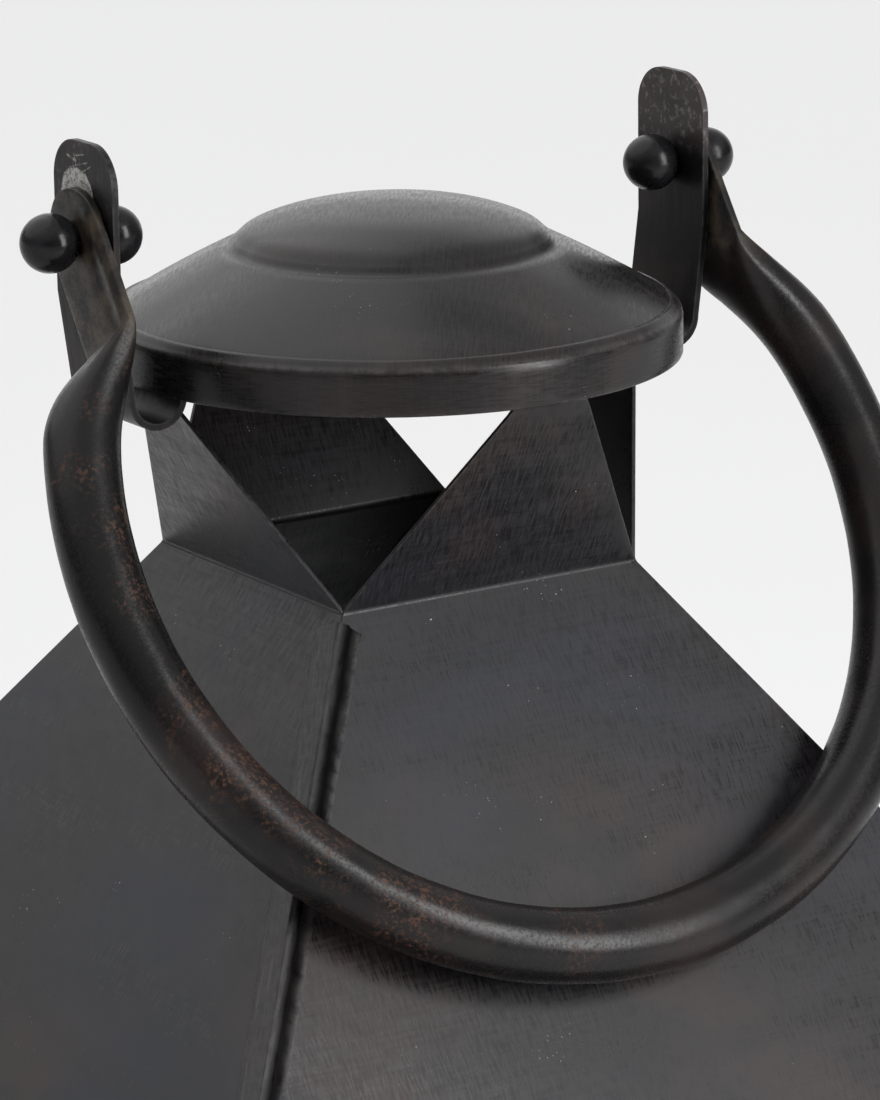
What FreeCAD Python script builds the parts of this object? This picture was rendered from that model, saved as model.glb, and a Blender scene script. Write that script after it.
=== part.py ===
import FreeCAD, Part
import math
import os

# Candle lantern: a square glazed body under a pyramid roof of folded sheet,
# with a round vent cap, two J-shaped straps and a folding ring handle.
# Millimetres, +Z up. The origin is on the ground under the middle of the body.
# The door is on the front, which faces -Y. The handle turns about an X axis.

Vector = FreeCAD.Vector
ORIGIN = Vector(0, 0, 0)
X_AXIS = Vector(1, 0, 0)
Y_AXIS = Vector(0, 1, 0)
Z_AXIS = Vector(0, 0, 1)

# Body
body_width = 224.0          # across the outer faces of the corner posts
body_height = 262.0         # length of the corner posts
post_leg = 18.0             # width of each leg of a corner post
frame_sheet = 1.5           # thickness of posts, rails, tray and eave plate
rail_leg = 18.0             # height of a rail and reach of its flange
tray_wall_height = 16.0
foot_height = 12.0
foot_ground_flat = 1.8      # cut from each ball foot at the ground
foot_seat_flat = 2.2        # cut from it under the tray
foot_inset = 14.0           # from the outer face of the body to a foot's centre
stud_radius = 2.5
stud_past_nut = 1.0
nut_across_flats = 8.0
nut_height = 4.0

# Roof
eave_overhang = 18.0        # of the roof beyond the body, on each side
roof_rise_per_run = 1.41    # steepness of the four roof panels
roof_sheet = 1.0
eave_lip_height = 9.5
neck_width = 76.0           # across the fold where the flaps start
flap_tip_half_width = 8.0
flap_bend_above_skirt = 1.83  # where the front and back flaps turn upright, above the skirt's edge
tab_bite = 0.3              # flat face of those tabs beyond the skirt's inside, trimmed to fit it
tab_top_gap = 0.6           # between a tab's top and the brim
seam_width = 6.2            # reach of a ridge seam over its own panel
seam_return = 1.6           # reach over the neighbouring panel
seam_height = 1.8
seam_round = 0.9
seam_top_gap = 3.0          # from the neck corner down to the seam's upper end

# Vent cap
cap_radius = 63.6
cap_sheet = 1.0
cap_above_neck = 45.0       # underside of the skirt above the neck fold
skirt_height = 9.4
brim_bead = 1.0             # rounding between skirt and brim
brim_rise = 13.6
brim_bulge = 1.1
dome_radius = 35.0
dome_rise = 8.4
dome_foot_rise = 1.8

# Straps and pivots
strap_width = 25.0
strap_sheet = 1.5
strap_foot_gap = 9.3        # from the skirt to the middle of a strap's foot
strap_flare = 2.7           # further out at the pin than at the foot
strap_top_above_pin = 20.6
strap_straight_below_pin = 13.0
strap_corner_radius = 9.0
hook_bend_above_skirt = 1.0  # centre of the hook's bend, above the skirt's edge
hook_top_gap = 0.4          # between the hook's inner leg and the brim
hook_side_gap = 0.15        # between the hook's inner leg and the skirt
pin_above_skirt = 34.4      # above the skirt's edge
pin_radius = 3.0
ball_radius = 6.35
ball_flat_depth = 1.05      # cut from a ball where it seats
strap_rivet_radius = 1.6
strap_rivet_head = 3.2
strap_rivet_head_height = 0.9

# Ring handle
ring_bulge = 17.95          # of the tube's centre line beyond the flat ends
ring_centre_below_pin = 75.0
tube_radius = 8.0
tube_wall = 1.2
end_thickness = 2.4
end_width = 22.0
end_flat_length = 23.0      # from the pin to the crease
tube_round_from = 38.0      # below the pin, where the tube is fully round
rest_gap = 0.4              # handle above the ridge seam when folded down

# Door, hinges and latch
door_gap = 0.4              # behind the door, in front of the posts
door_sheet = 1.6
door_side_margin = 8.0      # from the body's outer corner to the door's edge
door_bottom_gap = 2.5       # above the tray's wall
door_top_margin = 7.5       # below the top of the posts
door_rail = 22.0            # width of the door's frame above and below its glass
glass_thickness = 3.0
glass_overlap = 3.0         # of the door's glass behind its frame
pane_corner_gap = 2.0       # between neighbouring panes at a corner
pane_end_gap = 0.3
hinge_knuckle_radius = 3.0
hinge_pin_radius = 1.7
hinge_knuckle_length = 10.0
hinge_knuckle_gap = 0.3
hinge_leaf = 1.2
hinge_leaf_reach = 12.0
post_leaf_margin = 0.5      # from the body's outer corner to the edge of the post's leaf
post_leaf_past_knuckle = 0.4
knuckle_sink = 0.4          # of the knuckles into the post's leaf
hinge_ball_radius = 3.4
hinge_ball_flat = 0.6
hinge_pin_tail = 2.0        # below the lowest knuckle
hinge_from_door_edge = 4.5
hinge_from_door_end = 42.0
latch_above_middle = 0.75   # of the door
spindle_radius = 3.0
spindle_end = 1.0           # past the tongue
spindle_glass_gap = 1.5
knob_radius = 6.5
knob_neck = 1.2             # between the collar and the knob
knob_seat_share = 0.9       # of the knob's radius that stands clear of its neck
collar_radius = 6.0
collar_height = 1.4
tongue_width = 8.0
tongue_length = 16.0
tongue_thickness = 1.5
tongue_gap = 0.4            # behind the post's leg when turned
tongue_post_gap = 0.5       # beside the post's leg when hanging

# Glass clips
clip_sheet = 1.2
clip_width = 14.0
clip_reach = 10.0
clip_height = 15.0
clip_spacing = 120.0
door_clip_reach = 6.0
door_clip_lap = 4.5
door_clip_spacing = 130.0

# Rivets
rivet_radius = 1.8
rivet_head_radius = 2.8
rivet_head_height = 1.3
rivet_tail_radius = 2.2
rivet_tail_height = 1.0
rivet_corner_gap = 0.2      # between a rivet's tail and the neighbouring leg of the rail
rivet_row_offset = 5.5
base_rivet_height = 6.5     # above the tray's underside
head_rivet_depth = 9.8      # below the top of the posts
eave_rivet_shift = 1.0      # from the middle of the flange towards its inner edge

# Candle and its plate
candle_radius = 37.5
candle_height = 122.0
candle_edge_round = 3.0
candle_rim = 9.5            # width of the rim around the hollow in the candle's top
candle_pool_depth = 4.0
plate_margin = 8.5          # of the flat of the plate around the candle
plate_rim_run = 10.0
plate_rim_height = 9.0
plate_lip = 3.0
plate_sheet = 1.2
spike_radius = 3.0
spike_shoulder = 3.0        # height of the straight foot of the spike
spike_tip_radius = 0.4
spike_height = 22.0
spike_clearance = 0.4       # round the spike
spike_headroom = 1.0        # above its tip
wick_radius = 1.2
wick_height = 13.0
wick_depth = 8.0
wick_clearance = 0.1

# Fits
running_clearance = 0.08    # radial, for anything that turns on a pin
seat_clearance = 0.05       # radial, for a fixed pin in its hole
side_clearance = 0.3        # between faces that slide past each other

# Levels and planes that follow from the sizes above
half_body = body_width / 2
half_frame = half_body - frame_sheet
half_rail_inner = half_frame - frame_sheet
half_roof = half_body + eave_overhang
half_neck = neck_width / 2
tray_floor_top = foot_height + frame_sheet
sill_flange_top = tray_floor_top + frame_sheet
sill_top = tray_floor_top + rail_leg
tray_wall_top = foot_height + tray_wall_height
posts_top = tray_floor_top + body_height
head_flange_bottom = posts_top - frame_sheet
head_bottom = posts_top - rail_leg
eave_plate_top = posts_top + frame_sheet
eave_top = posts_top + eave_lip_height
neck_level = eave_top + (half_roof - half_neck) * roof_rise_per_run
skirt_bottom = neck_level + cap_above_neck
skirt_inner_radius = cap_radius - cap_sheet
skirt_inner_top = skirt_bottom + skirt_height - cap_sheet
pin_level = skirt_bottom + pin_above_skirt
foot_radius = (foot_height + foot_ground_flat + foot_seat_flat) / 2
foot_centre = foot_radius - foot_ground_flat
half_flange_opening = half_frame - rail_leg
front_tab_face = skirt_inner_radius + tab_bite
lean_run = (front_tab_face - half_neck) / (cap_above_neck + flap_bend_above_skirt)
roof_angle = math.atan(roof_rise_per_run)
door_back = -(half_body + door_gap)
door_front = door_back - door_sheet
half_door = half_body - door_side_margin
door_bottom = tray_wall_top + door_bottom_gap
door_top = posts_top - door_top_margin
door_middle = (door_bottom + door_top) / 2
hinge_x = -(half_door + hinge_from_door_edge)
hinge_y = -(half_body + hinge_leaf + hinge_knuckle_radius - knuckle_sink)
latch_height = door_middle + latch_above_middle
latch_x = half_body - post_leg - tongue_post_gap - tongue_width / 2
half_door_glass = latch_x - spindle_radius - spindle_glass_gap
half_opening = half_door_glass - glass_overlap
opening_bottom = door_bottom + door_rail
opening_top = door_top - door_rail
strap_foot_half_spacing = cap_radius + strap_foot_gap
strap_half_spacing = strap_foot_half_spacing + strap_flare
strap_inner_face = strap_half_spacing - strap_sheet / 2
strap_outer_face = strap_half_spacing + strap_sheet / 2
end_inner_face = strap_outer_face + side_clearance
end_outer_face = end_inner_face + end_thickness
ring_radius = end_outer_face + ring_bulge
hook_leg_outer = math.sqrt(skirt_inner_radius ** 2 - (strap_width / 2) ** 2) - hook_side_gap
hook_leg_middle = hook_leg_outer - strap_sheet / 2
side_tab_face = hook_leg_outer - strap_sheet
hook_bend_level = skirt_bottom + hook_bend_above_skirt
hook_leg_top = skirt_inner_top - hook_top_gap
plate_flat_radius = candle_radius + plate_margin
plate_radius = plate_flat_radius + plate_rim_run
candle_seat = tray_floor_top + plate_sheet
candle_top = candle_seat + candle_height
pool_bottom = candle_top - candle_pool_depth

nodes = {}


def box(x0, x1, y0, y1, z0, z1):
    return Part.makeBox(x1 - x0, y1 - y0, z1 - z0, Vector(x0, y0, z0))


def cylinder(radius, start, direction, length):
    return Part.makeCylinder(radius, length, start, direction)


def prism(points, direction):
    return Part.Face(Part.makePolygon(points + points[:1])).extrude(direction)


def fused(shapes):
    whole = shapes[0].multiFuse(shapes[1:])
    return whole.removeSplitter()


def group(shapes):
    return Part.makeCompound(shapes)


def turned(shape, degrees, centre=ORIGIN, axis=Z_AXIS):
    copy = shape.copy()
    copy.rotate(centre, axis, degrees)
    return copy


def mirrored_x(shape):
    return shape.mirror(ORIGIN, X_AXIS)


def four_corners(distance):
    return [Vector(x, y, 0) for x in (-distance, distance) for y in (-distance, distance)]


def square_band(outer_half, inner_half, bottom, top):
    outer = box(-outer_half, outer_half, -outer_half, outer_half, bottom, top)
    inner = box(-inner_half, inner_half, -inner_half, inner_half, bottom, top)
    return outer.cut(inner)


def rivet(head_side, direction, grip):
    """Round-headed rivet; the head lies outside head_side and the shank runs along direction."""
    head_sphere_radius = (rivet_head_radius ** 2 + rivet_head_height ** 2) / (2 * rivet_head_height)
    centre = head_side + direction * (head_sphere_radius - rivet_head_height)
    ball = Part.makeSphere(head_sphere_radius, centre)
    head = ball.common(cylinder(rivet_head_radius, head_side, direction * -1, rivet_head_height))
    shank = cylinder(rivet_radius, head_side, direction, grip)
    tail = cylinder(rivet_tail_radius, head_side + direction * grip, direction, rivet_tail_height)
    return fused([head, shank, tail])


# Base: tray, feet and nuts -------------------------------------------------

def foot_places():
    return four_corners(half_body - foot_inset)


def drill(shape, places, radius, bottom, top):
    for place in places:
        start = Vector(place.x, place.y, bottom)
        shape = shape.cut(cylinder(radius, start, Z_AXIS, top - bottom))
    return shape


def make_base_tray():
    half_outer = half_body + frame_sheet
    floor = box(-half_outer, half_outer, -half_outer, half_outer, foot_height, tray_floor_top)
    wall = square_band(half_outer, half_body, foot_height, tray_wall_top)
    tray = drill(fused([floor, wall]), foot_places(), stud_radius + seat_clearance,
                 foot_height, tray_floor_top)
    return cut_rivet_holes(tray, base_rivet_places(), frame_sheet)


def make_foot(place):
    centre = Vector(place.x, place.y, foot_centre)
    ball = Part.makeSphere(foot_radius, centre)
    slab = box(place.x - foot_radius, place.x + foot_radius,
               place.y - foot_radius, place.y + foot_radius, 0, foot_height)
    stud = cylinder(stud_radius, centre, Z_AXIS, sill_flange_top + nut_height + stud_past_nut - foot_centre)
    return fused([ball.common(slab), stud])


def make_nut(place):
    corner_radius = nut_across_flats / 2 / math.cos(math.radians(30))
    corners = [Vector(place.x + corner_radius * math.cos(math.radians(60 * n)),
                      place.y + corner_radius * math.sin(math.radians(60 * n)),
                      sill_flange_top) for n in range(6)]
    nut = prism(corners, Vector(0, 0, nut_height))
    return drill(nut, [place], stud_radius + seat_clearance, sill_flange_top, sill_flange_top + nut_height)


# Body frame: posts, sill, head and eave plate --------------------------------

def base_rivet_places():
    """Rivets through tray wall, post and sill: start on the tray's outer face."""
    return corner_rivet_places(half_body + frame_sheet, foot_height + base_rivet_height)


def head_rivet_places():
    """Rivets through post and head rail: start on the post's outer face."""
    return corner_rivet_places(half_body, posts_top - head_rivet_depth)


def corner_rivet_places(face, level):
    """One rivet each way at every corner, the two at different levels so that they pass."""
    across = half_rail_inner - rivet_tail_radius - rivet_corner_gap
    places = []
    for side in (-1, 1):
        for end in (-1, 1):
            places.append((Vector(side * face, end * across, level), Vector(-side, 0, 0)))
            places.append((Vector(end * across, side * face, level + rivet_row_offset), Vector(0, -side, 0)))
    return places


def cut_rivet_holes(shape, places, depth):
    for start, direction in places:
        shape = shape.cut(cylinder(rivet_radius + seat_clearance, start, direction, depth))
    return shape


def make_rivets(places, grip):
    return group([rivet(start, direction, grip) for start, direction in places])


def make_post(side_x, side_y):
    low_x, high_x = sorted((side_x * half_body, side_x * (half_body - post_leg)))
    low_y, high_y = sorted((side_y * half_body, side_y * (half_body - post_leg)))
    whole = box(low_x, high_x, low_y, high_y, tray_floor_top, posts_top)
    hollow_x = sorted((side_x * half_frame, side_x * (half_frame - post_leg)))
    hollow_y = sorted((side_y * half_frame, side_y * (half_frame - post_leg)))
    hollow = box(hollow_x[0], hollow_x[1], hollow_y[0], hollow_y[1], tray_floor_top, posts_top)
    post = whole.cut(hollow)
    post = cut_rivet_holes(post, base_rivet_places(), frame_sheet * 2)
    return cut_rivet_holes(post, head_rivet_places(), frame_sheet)


def make_sill():
    flange = square_band(half_frame, half_flange_opening, tray_floor_top, sill_flange_top)
    leg = square_band(half_frame, half_rail_inner, tray_floor_top, sill_top)
    sill = drill(fused([flange, leg]), foot_places(), stud_radius + seat_clearance,
                 tray_floor_top, sill_flange_top)
    return cut_rivet_holes(sill, base_rivet_places(), frame_sheet * 3)


def eave_rivet_places():
    across = half_flange_opening + rail_leg / 2 - eave_rivet_shift
    middles = [Vector(across, 0, 0), Vector(-across, 0, 0), Vector(0, across, 0), Vector(0, -across, 0)]
    return [(Vector(place.x, place.y, eave_plate_top), Z_AXIS * -1)
            for place in four_corners(half_body - foot_inset) + middles]


def make_head():
    flange = square_band(half_frame, half_flange_opening, head_flange_bottom, posts_top)
    leg = square_band(half_frame, half_rail_inner, head_bottom, posts_top)
    head = cut_rivet_holes(fused([flange, leg]), head_rivet_places(), frame_sheet * 2)
    return cut_rivet_holes(head, eave_rivet_places(), frame_sheet * 2)


def make_eave_plate():
    plate = square_band(half_roof - roof_sheet, half_flange_opening, posts_top, eave_plate_top)
    return cut_rivet_holes(plate, eave_rivet_places(), frame_sheet)


# Glazing ---------------------------------------------------------------------

def make_back_pane():
    half_pane = half_rail_inner - glass_thickness - pane_corner_gap
    bottom = sill_flange_top + pane_end_gap
    top = head_flange_bottom - pane_end_gap
    return box(-half_pane, half_pane, half_rail_inner - glass_thickness, half_rail_inner, bottom, top)


def make_back_pane_clips():
    """Four bent clips on the sill and head flanges, each holding the glass from inside."""
    glass_face = half_rail_inner - glass_thickness
    clips = []
    for x in (-clip_spacing / 2, clip_spacing / 2):
        left = x - clip_width / 2
        right = x + clip_width / 2
        low = [box(left, right, glass_face - clip_reach, glass_face, sill_flange_top,
                   sill_flange_top + clip_sheet),
               box(left, right, glass_face - clip_sheet, glass_face, sill_flange_top,
                   sill_flange_top + clip_height)]
        high = [box(left, right, glass_face - clip_reach, glass_face, head_flange_bottom - clip_sheet,
                    head_flange_bottom),
                box(left, right, glass_face - clip_sheet, glass_face, head_flange_bottom - clip_height,
                    head_flange_bottom)]
        clips += [fused(low), fused(high)]
    return group(clips)


# Roof --------------------------------------------------------------------------

def offset_outline(points, distance):
    """Points of the same open outline moved sideways by a sheet's thickness, mitred at each bend."""
    lines = []
    for start, end in zip(points, points[1:]):
        length = math.hypot(end[0] - start[0], end[1] - start[1])
        normal = ((end[1] - start[1]) / length * distance, -(end[0] - start[0]) / length * distance)
        lines.append(((start[0] + normal[0], start[1] + normal[1]), (end[0] + normal[0], end[1] + normal[1])))
    moved = [lines[0][0]]
    for (a, b), (c, d) in zip(lines, lines[1:]):
        along = (b[0] - a[0], b[1] - a[1])
        across = (d[0] - c[0], d[1] - c[1])
        turn = along[0] * across[1] - along[1] * across[0]
        step = ((c[0] - a[0]) * across[1] - (c[1] - a[1]) * across[0]) / turn
        moved.append((a[0] + along[0] * step, a[1] + along[1] * step))
    moved.append(lines[-1][1])
    return moved


def make_front_panel(tab_face):
    """One folded sheet: eave lip, sloping panel, flap and tab, as seen on the front side."""
    bend_level = neck_level + (tab_face - half_neck) / lean_run
    tab_top = skirt_inner_top - tab_top_gap
    outline = [(-half_roof, posts_top), (-half_roof, eave_top), (-half_neck, neck_level),
               (-tab_face, bend_level), (-tab_face, tab_top)]
    inside = offset_outline(outline, roof_sheet)
    section = [Vector(-half_roof, y, z) for y, z in outline + inside[::-1]]
    sheet = prism(section, Vector(2 * half_roof, 0, 0))
    between_mitres = prism([Vector(0, 0, posts_top), Vector(-half_roof, -half_roof, posts_top),
                            Vector(half_roof, -half_roof, posts_top)], Vector(0, 0, tab_top - posts_top))
    slope = box(-half_roof, half_roof, -half_roof, 0, posts_top, neck_level)
    flap = prism([Vector(-half_neck, -half_roof, neck_level), Vector(half_neck, -half_roof, neck_level),
                  Vector(flap_tip_half_width, -half_roof, bend_level),
                  Vector(flap_tip_half_width, -half_roof, tab_top),
                  Vector(-flap_tip_half_width, -half_roof, tab_top),
                  Vector(-flap_tip_half_width, -half_roof, bend_level)], Vector(0, half_roof, 0))
    panel = sheet.common(between_mitres).common(fused([slope, flap]))
    inside_skirt = cylinder(skirt_inner_radius, Vector(0, 0, skirt_bottom), Z_AXIS, tab_top)
    below_skirt = box(-half_roof, half_roof, -half_roof, half_roof, posts_top, skirt_bottom)
    return panel.common(fused([inside_skirt, below_skirt]))


def make_seam():
    """Folded strip over the front left ridge, with its broad side on the left panel."""
    slope_length = math.sqrt(2 + roof_rise_per_run ** 2)
    down = Vector(-1, -1, -roof_rise_per_run) * (1 / slope_length)
    front_normal = Vector(0, -math.sin(roof_angle), math.cos(roof_angle))
    left_normal = Vector(-math.sin(roof_angle), 0, math.cos(roof_angle))
    over_left = left_normal.cross(down)
    if over_left.y < 0:
        over_left = over_left * -1
    over_front = front_normal.cross(down)
    if over_front.x < 0:
        over_front = over_front * -1
    ridge_normal = front_normal + left_normal
    ridge_normal = ridge_normal * (1 / ridge_normal.Length)
    crest = ridge_normal * (seam_height / ridge_normal.dot(left_normal))
    start = Vector(-half_neck, -half_neck, neck_level) + down * seam_top_gap
    section = [start, start + over_left * seam_width,
               start + over_left * seam_width + left_normal * seam_height, start + crest,
               start + over_front * seam_return + front_normal * seam_height,
               start + over_front * seam_return]
    length = (half_roof - half_neck) * slope_length
    strip = prism(section, down * length)
    crest_edges = [edge for edge in strip.Edges
                   if abs(edge.Length - length) < 0.01
                   and edge.distToShape(Part.Vertex(start + crest))[0] < 0.01]
    strip = strip.makeFillet(seam_round, crest_edges)
    return strip.common(box(-half_roof, 0, -half_roof, 0, eave_top, neck_level))


# Vent cap ------------------------------------------------------------------------

def cap_body(shrink):
    """Solid of revolution under the cap's surface, moved inward and down by shrink."""
    radius = cap_radius - shrink
    brim_low = skirt_bottom + skirt_height - shrink
    brim_edge = brim_low + brim_bead
    brim_high = brim_edge + brim_rise
    dome_foot = dome_radius - shrink / 2
    dome_start = brim_high + dome_foot_rise
    apex = dome_start + dome_rise

    def at(r, z):
        return Vector(r, 0, z)

    bead = Part.Arc(at(radius, brim_low), at(radius - brim_bead * 0.3, brim_low + brim_bead * 0.7),
                    at(radius - brim_bead, brim_edge))
    brim_middle = at((radius - brim_bead + dome_foot + 3) / 2, (brim_edge + brim_high) / 2 + brim_bulge)
    brim = Part.Arc(at(radius - brim_bead, brim_edge), brim_middle, at(dome_foot + 3, brim_high))
    cove = Part.Arc(at(dome_foot + 3, brim_high), at(dome_foot + 1, brim_high + dome_foot_rise * 0.35),
                    at(dome_foot, dome_start))
    dome = Part.BSplineCurve()
    dome.interpolate([at(dome_foot, dome_start), at(dome_foot * 0.88, dome_start + dome_rise * 0.38),
                      at(dome_foot * 0.62, dome_start + dome_rise * 0.74),
                      at(dome_foot * 0.3, dome_start + dome_rise * 0.95), at(0, apex)])
    edges = [Part.LineSegment(at(0, skirt_bottom - shrink), at(radius, skirt_bottom - shrink)).toShape(),
             Part.LineSegment(at(radius, skirt_bottom - shrink), at(radius, brim_low)).toShape(),
             bead.toShape(), brim.toShape(), cove.toShape(), dome.toShape(),
             Part.LineSegment(at(0, apex), at(0, skirt_bottom - shrink)).toShape()]
    return Part.Face(Part.Wire(edges)).revolve(ORIGIN, Z_AXIS, 360)


def make_vent_cap():
    return cap_body(0).cut(cap_body(cap_sheet))


# Straps, pivot pins and balls -----------------------------------------------------

def make_right_strap():
    """Flat bar seen edge on: upright, leaning foot, round hook and inner leg."""
    half = strap_sheet / 2
    bend_centre_x = (strap_foot_half_spacing + hook_leg_middle) / 2
    bend_radius = (strap_foot_half_spacing - hook_leg_middle) / 2
    knee_level = pin_level - strap_straight_below_pin
    top_level = pin_level + strap_top_above_pin
    y = -strap_width / 2

    def at(x, z):
        return Vector(x, y, z)

    outer = bend_radius + half
    inner = bend_radius - half
    outside = [at(strap_half_spacing + half, top_level), at(strap_half_spacing + half, knee_level),
               at(strap_foot_half_spacing + half, hook_bend_level)]
    inside = [at(strap_foot_half_spacing - half, hook_bend_level), at(strap_half_spacing - half, knee_level),
              at(strap_half_spacing - half, top_level)]
    leg = [at(hook_leg_middle - half, hook_bend_level), at(hook_leg_middle - half, hook_leg_top),
           at(hook_leg_middle + half, hook_leg_top), at(hook_leg_middle + half, hook_bend_level)]
    edges = [Part.LineSegment(a, b).toShape() for a, b in zip(outside, outside[1:])]
    edges.append(Part.Arc(outside[-1], at(bend_centre_x, hook_bend_level - outer), leg[0]).toShape())
    edges += [Part.LineSegment(a, b).toShape() for a, b in zip(leg, leg[1:])]
    edges.append(Part.Arc(leg[-1], at(bend_centre_x, hook_bend_level - inner), inside[0]).toShape())
    edges += [Part.LineSegment(a, b).toShape() for a, b in zip(inside, inside[1:] + outside[:1])]
    bar = Part.Face(Part.Wire(edges)).extrude(Vector(0, strap_width, 0))
    corner_edges = [edge for edge in bar.Edges
                    if edge.BoundBox.ZMin > top_level - 0.01 and edge.BoundBox.XLength > strap_sheet / 2
                    and edge.BoundBox.YLength < 0.01]
    bar = bar.makeFillet(strap_corner_radius, corner_edges)
    pin_hole = cylinder(pin_radius + seat_clearance, Vector(0, 0, pin_level), X_AXIS, ring_radius)
    rivet_hole = strap_rivet_shank(seat_clearance)
    return bar.cut(pin_hole).cut(rivet_hole)


def strap_rivet_level():
    return (hook_bend_level + hook_leg_top) / 2


def strap_rivet_shank(clearance):
    """Runs through the hook's inner leg and the flap's tab only."""
    start = Vector(side_tab_face - roof_sheet - strap_rivet_head_height, 0, strap_rivet_level())
    return cylinder(strap_rivet_radius + clearance, start, X_AXIS, hook_leg_outer - start.x)


def make_strap_rivet():
    level = strap_rivet_level()
    outer_head = cylinder(strap_rivet_head, Vector(hook_leg_outer, 0, level), X_AXIS,
                          strap_rivet_head_height)
    tab_inside = Vector(side_tab_face - roof_sheet, 0, level)
    inner_head = cylinder(strap_rivet_head, tab_inside, X_AXIS * -1, strap_rivet_head_height)
    return fused([outer_head, strap_rivet_shank(0), inner_head])


def seated_ball(face, direction):
    """Ball with a flat on the plane x = face, lying on the side that direction points to."""
    centre = Vector(face + direction * (ball_radius - ball_flat_depth), 0, pin_level)
    flat_side = cylinder(ball_radius + 1, Vector(face, 0, pin_level), X_AXIS * direction, 2 * ball_radius)
    return Part.makeSphere(ball_radius, centre).common(flat_side)


def pin_end():
    return end_outer_face + side_clearance + ball_radius


def make_right_pin():
    ball = seated_ball(strap_inner_face, -1)
    start = strap_inner_face - ball_flat_depth
    shaft = cylinder(pin_radius, Vector(start, 0, pin_level), X_AXIS, pin_end() - start)
    return fused([ball, shaft])


def make_right_outer_ball():
    ball = seated_ball(end_outer_face + side_clearance, 1)
    socket = cylinder(pin_radius + seat_clearance, Vector(0, 0, pin_level), X_AXIS, pin_end())
    return ball.cut(socket)


# Ring handle -------------------------------------------------------------------------

def handle_rest_angle():
    """Degrees from hanging straight down to lying just clear of the front left ridge seam."""
    front_normal = Vector(0, -math.sin(roof_angle), math.cos(roof_angle))
    pin_to_panel = (Vector(0, 0, pin_level) - Vector(0, -half_neck, neck_level)).dot(front_normal)
    reach = ring_centre_below_pin + ring_radius
    drop = pin_to_panel - tube_radius - seam_height - rest_gap
    return 90 - math.degrees(roof_angle) - math.degrees(math.asin(drop / reach))


def ring_section(radius, angle):
    """Round section of the tube; its middle lies at an angle from straight down, about the ring's centre."""
    outward = Vector(math.sin(angle), 0, -math.cos(angle))
    centre = Vector(0, 0, pin_level - ring_centre_below_pin) + outward * ring_radius

    def at(degrees):
        turn = math.radians(degrees)
        return centre + outward * (radius * math.cos(turn)) + Y_AXIS * (radius * math.sin(turn))

    corners = (-60, 60, 120, 240, 300)
    arcs = [Part.Arc(at(a), at((a + b) / 2), at(b)).toShape() for a, b in zip(corners, corners[1:])]
    return Part.Wire(arcs)


def flat_section(level):
    """Pressed-flat section of the tube, with half-round edges, at one level."""
    round_radius = end_thickness / 2
    straight = end_width / 2 - round_radius
    middle = (end_inner_face + end_outer_face) / 2
    corners = [Vector(end_outer_face, -straight, level), Vector(end_outer_face, straight, level),
               Vector(end_inner_face, straight, level), Vector(end_inner_face, -straight, level)]
    edges = [Part.LineSegment(corners[0], corners[1]).toShape(),
             Part.Arc(corners[1], Vector(middle, end_width / 2, level), corners[2]).toShape(),
             Part.LineSegment(corners[2], corners[3]).toShape(),
             Part.Arc(corners[3], Vector(middle, -end_width / 2, level), corners[0]).toShape()]
    return Part.Wire(edges)


def make_right_handle_end():
    """Flat end with a round top and a pin hole, and the stretch that opens out to the round tube."""
    crease = pin_level - end_flat_length
    start_angle = math.acos((ring_centre_below_pin - tube_round_from) / -ring_radius)
    opening = Part.makeLoft([flat_section(crease), ring_section(tube_radius, start_angle)], True, True)
    plate = Part.Face(flat_section(crease)).extrude(Vector(0, 0, end_flat_length))
    head = cylinder(end_width / 2, Vector(end_inner_face, 0, pin_level), X_AXIS, end_thickness)
    hole = cylinder(pin_radius + running_clearance, Vector(0, 0, pin_level), X_AXIS, ring_radius)
    return fused([opening, plate, head]).cut(hole)


def make_ring_handle():
    start_angle = math.acos((ring_centre_below_pin - tube_round_from) / -ring_radius)
    centre = Vector(0, 0, pin_level - ring_centre_below_pin)
    sweep = 2 * math.degrees(start_angle)
    outside, inside = [Part.Face(ring_section(radius, start_angle)).revolve(centre, Y_AXIS, sweep)
                       for radius in (tube_radius, tube_radius - tube_wall)]
    bow = outside.cut(inside)
    right_end = make_right_handle_end()
    handle = fused([bow, right_end, mirrored_x(right_end)])
    return turned(handle, -handle_rest_angle(), Vector(0, 0, pin_level), X_AXIS)


# Door, hinges and latch -----------------------------------------------------------------

def make_door_frame():
    plate = box(-half_door, half_door, door_front, door_back, door_bottom, door_top)
    window = box(-half_opening, half_opening, door_front, door_back, opening_bottom, opening_top)
    spindle_hole = cylinder(spindle_radius + running_clearance,
                            Vector(latch_x, door_front, latch_height), Y_AXIS, door_sheet)
    return plate.cut(window).cut(spindle_hole)


def make_door_glass():
    return box(-half_door_glass, half_door_glass, door_back, door_back + glass_thickness,
               opening_bottom - glass_overlap, opening_top + glass_overlap)


def make_door_clips():
    """Four bent clips on the back of the door's frame, lapping over the edges of its glass."""
    glass_back = door_back + glass_thickness
    clips = []
    for level in (door_middle - door_clip_spacing / 2, door_middle + door_clip_spacing / 2):
        low = level - clip_width / 2
        high = level + clip_width / 2
        foot = box(half_door_glass, half_door_glass + door_clip_reach, door_back,
                   door_back + clip_sheet, low, high)
        riser = box(half_door_glass, half_door_glass + clip_sheet, door_back,
                    glass_back + clip_sheet, low, high)
        lap = box(half_door_glass - door_clip_lap, half_door_glass + clip_sheet, glass_back,
                  glass_back + clip_sheet, low, high)
        clip = fused([foot, riser, lap])
        clips += [clip, mirrored_x(clip)]
    return group(clips)


def hinge_levels():
    return (door_bottom + hinge_from_door_end, door_top - hinge_from_door_end)


def knuckle(bottom, length):
    return cylinder(hinge_knuckle_radius, Vector(hinge_x, hinge_y, bottom), Z_AXIS, length)


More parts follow.
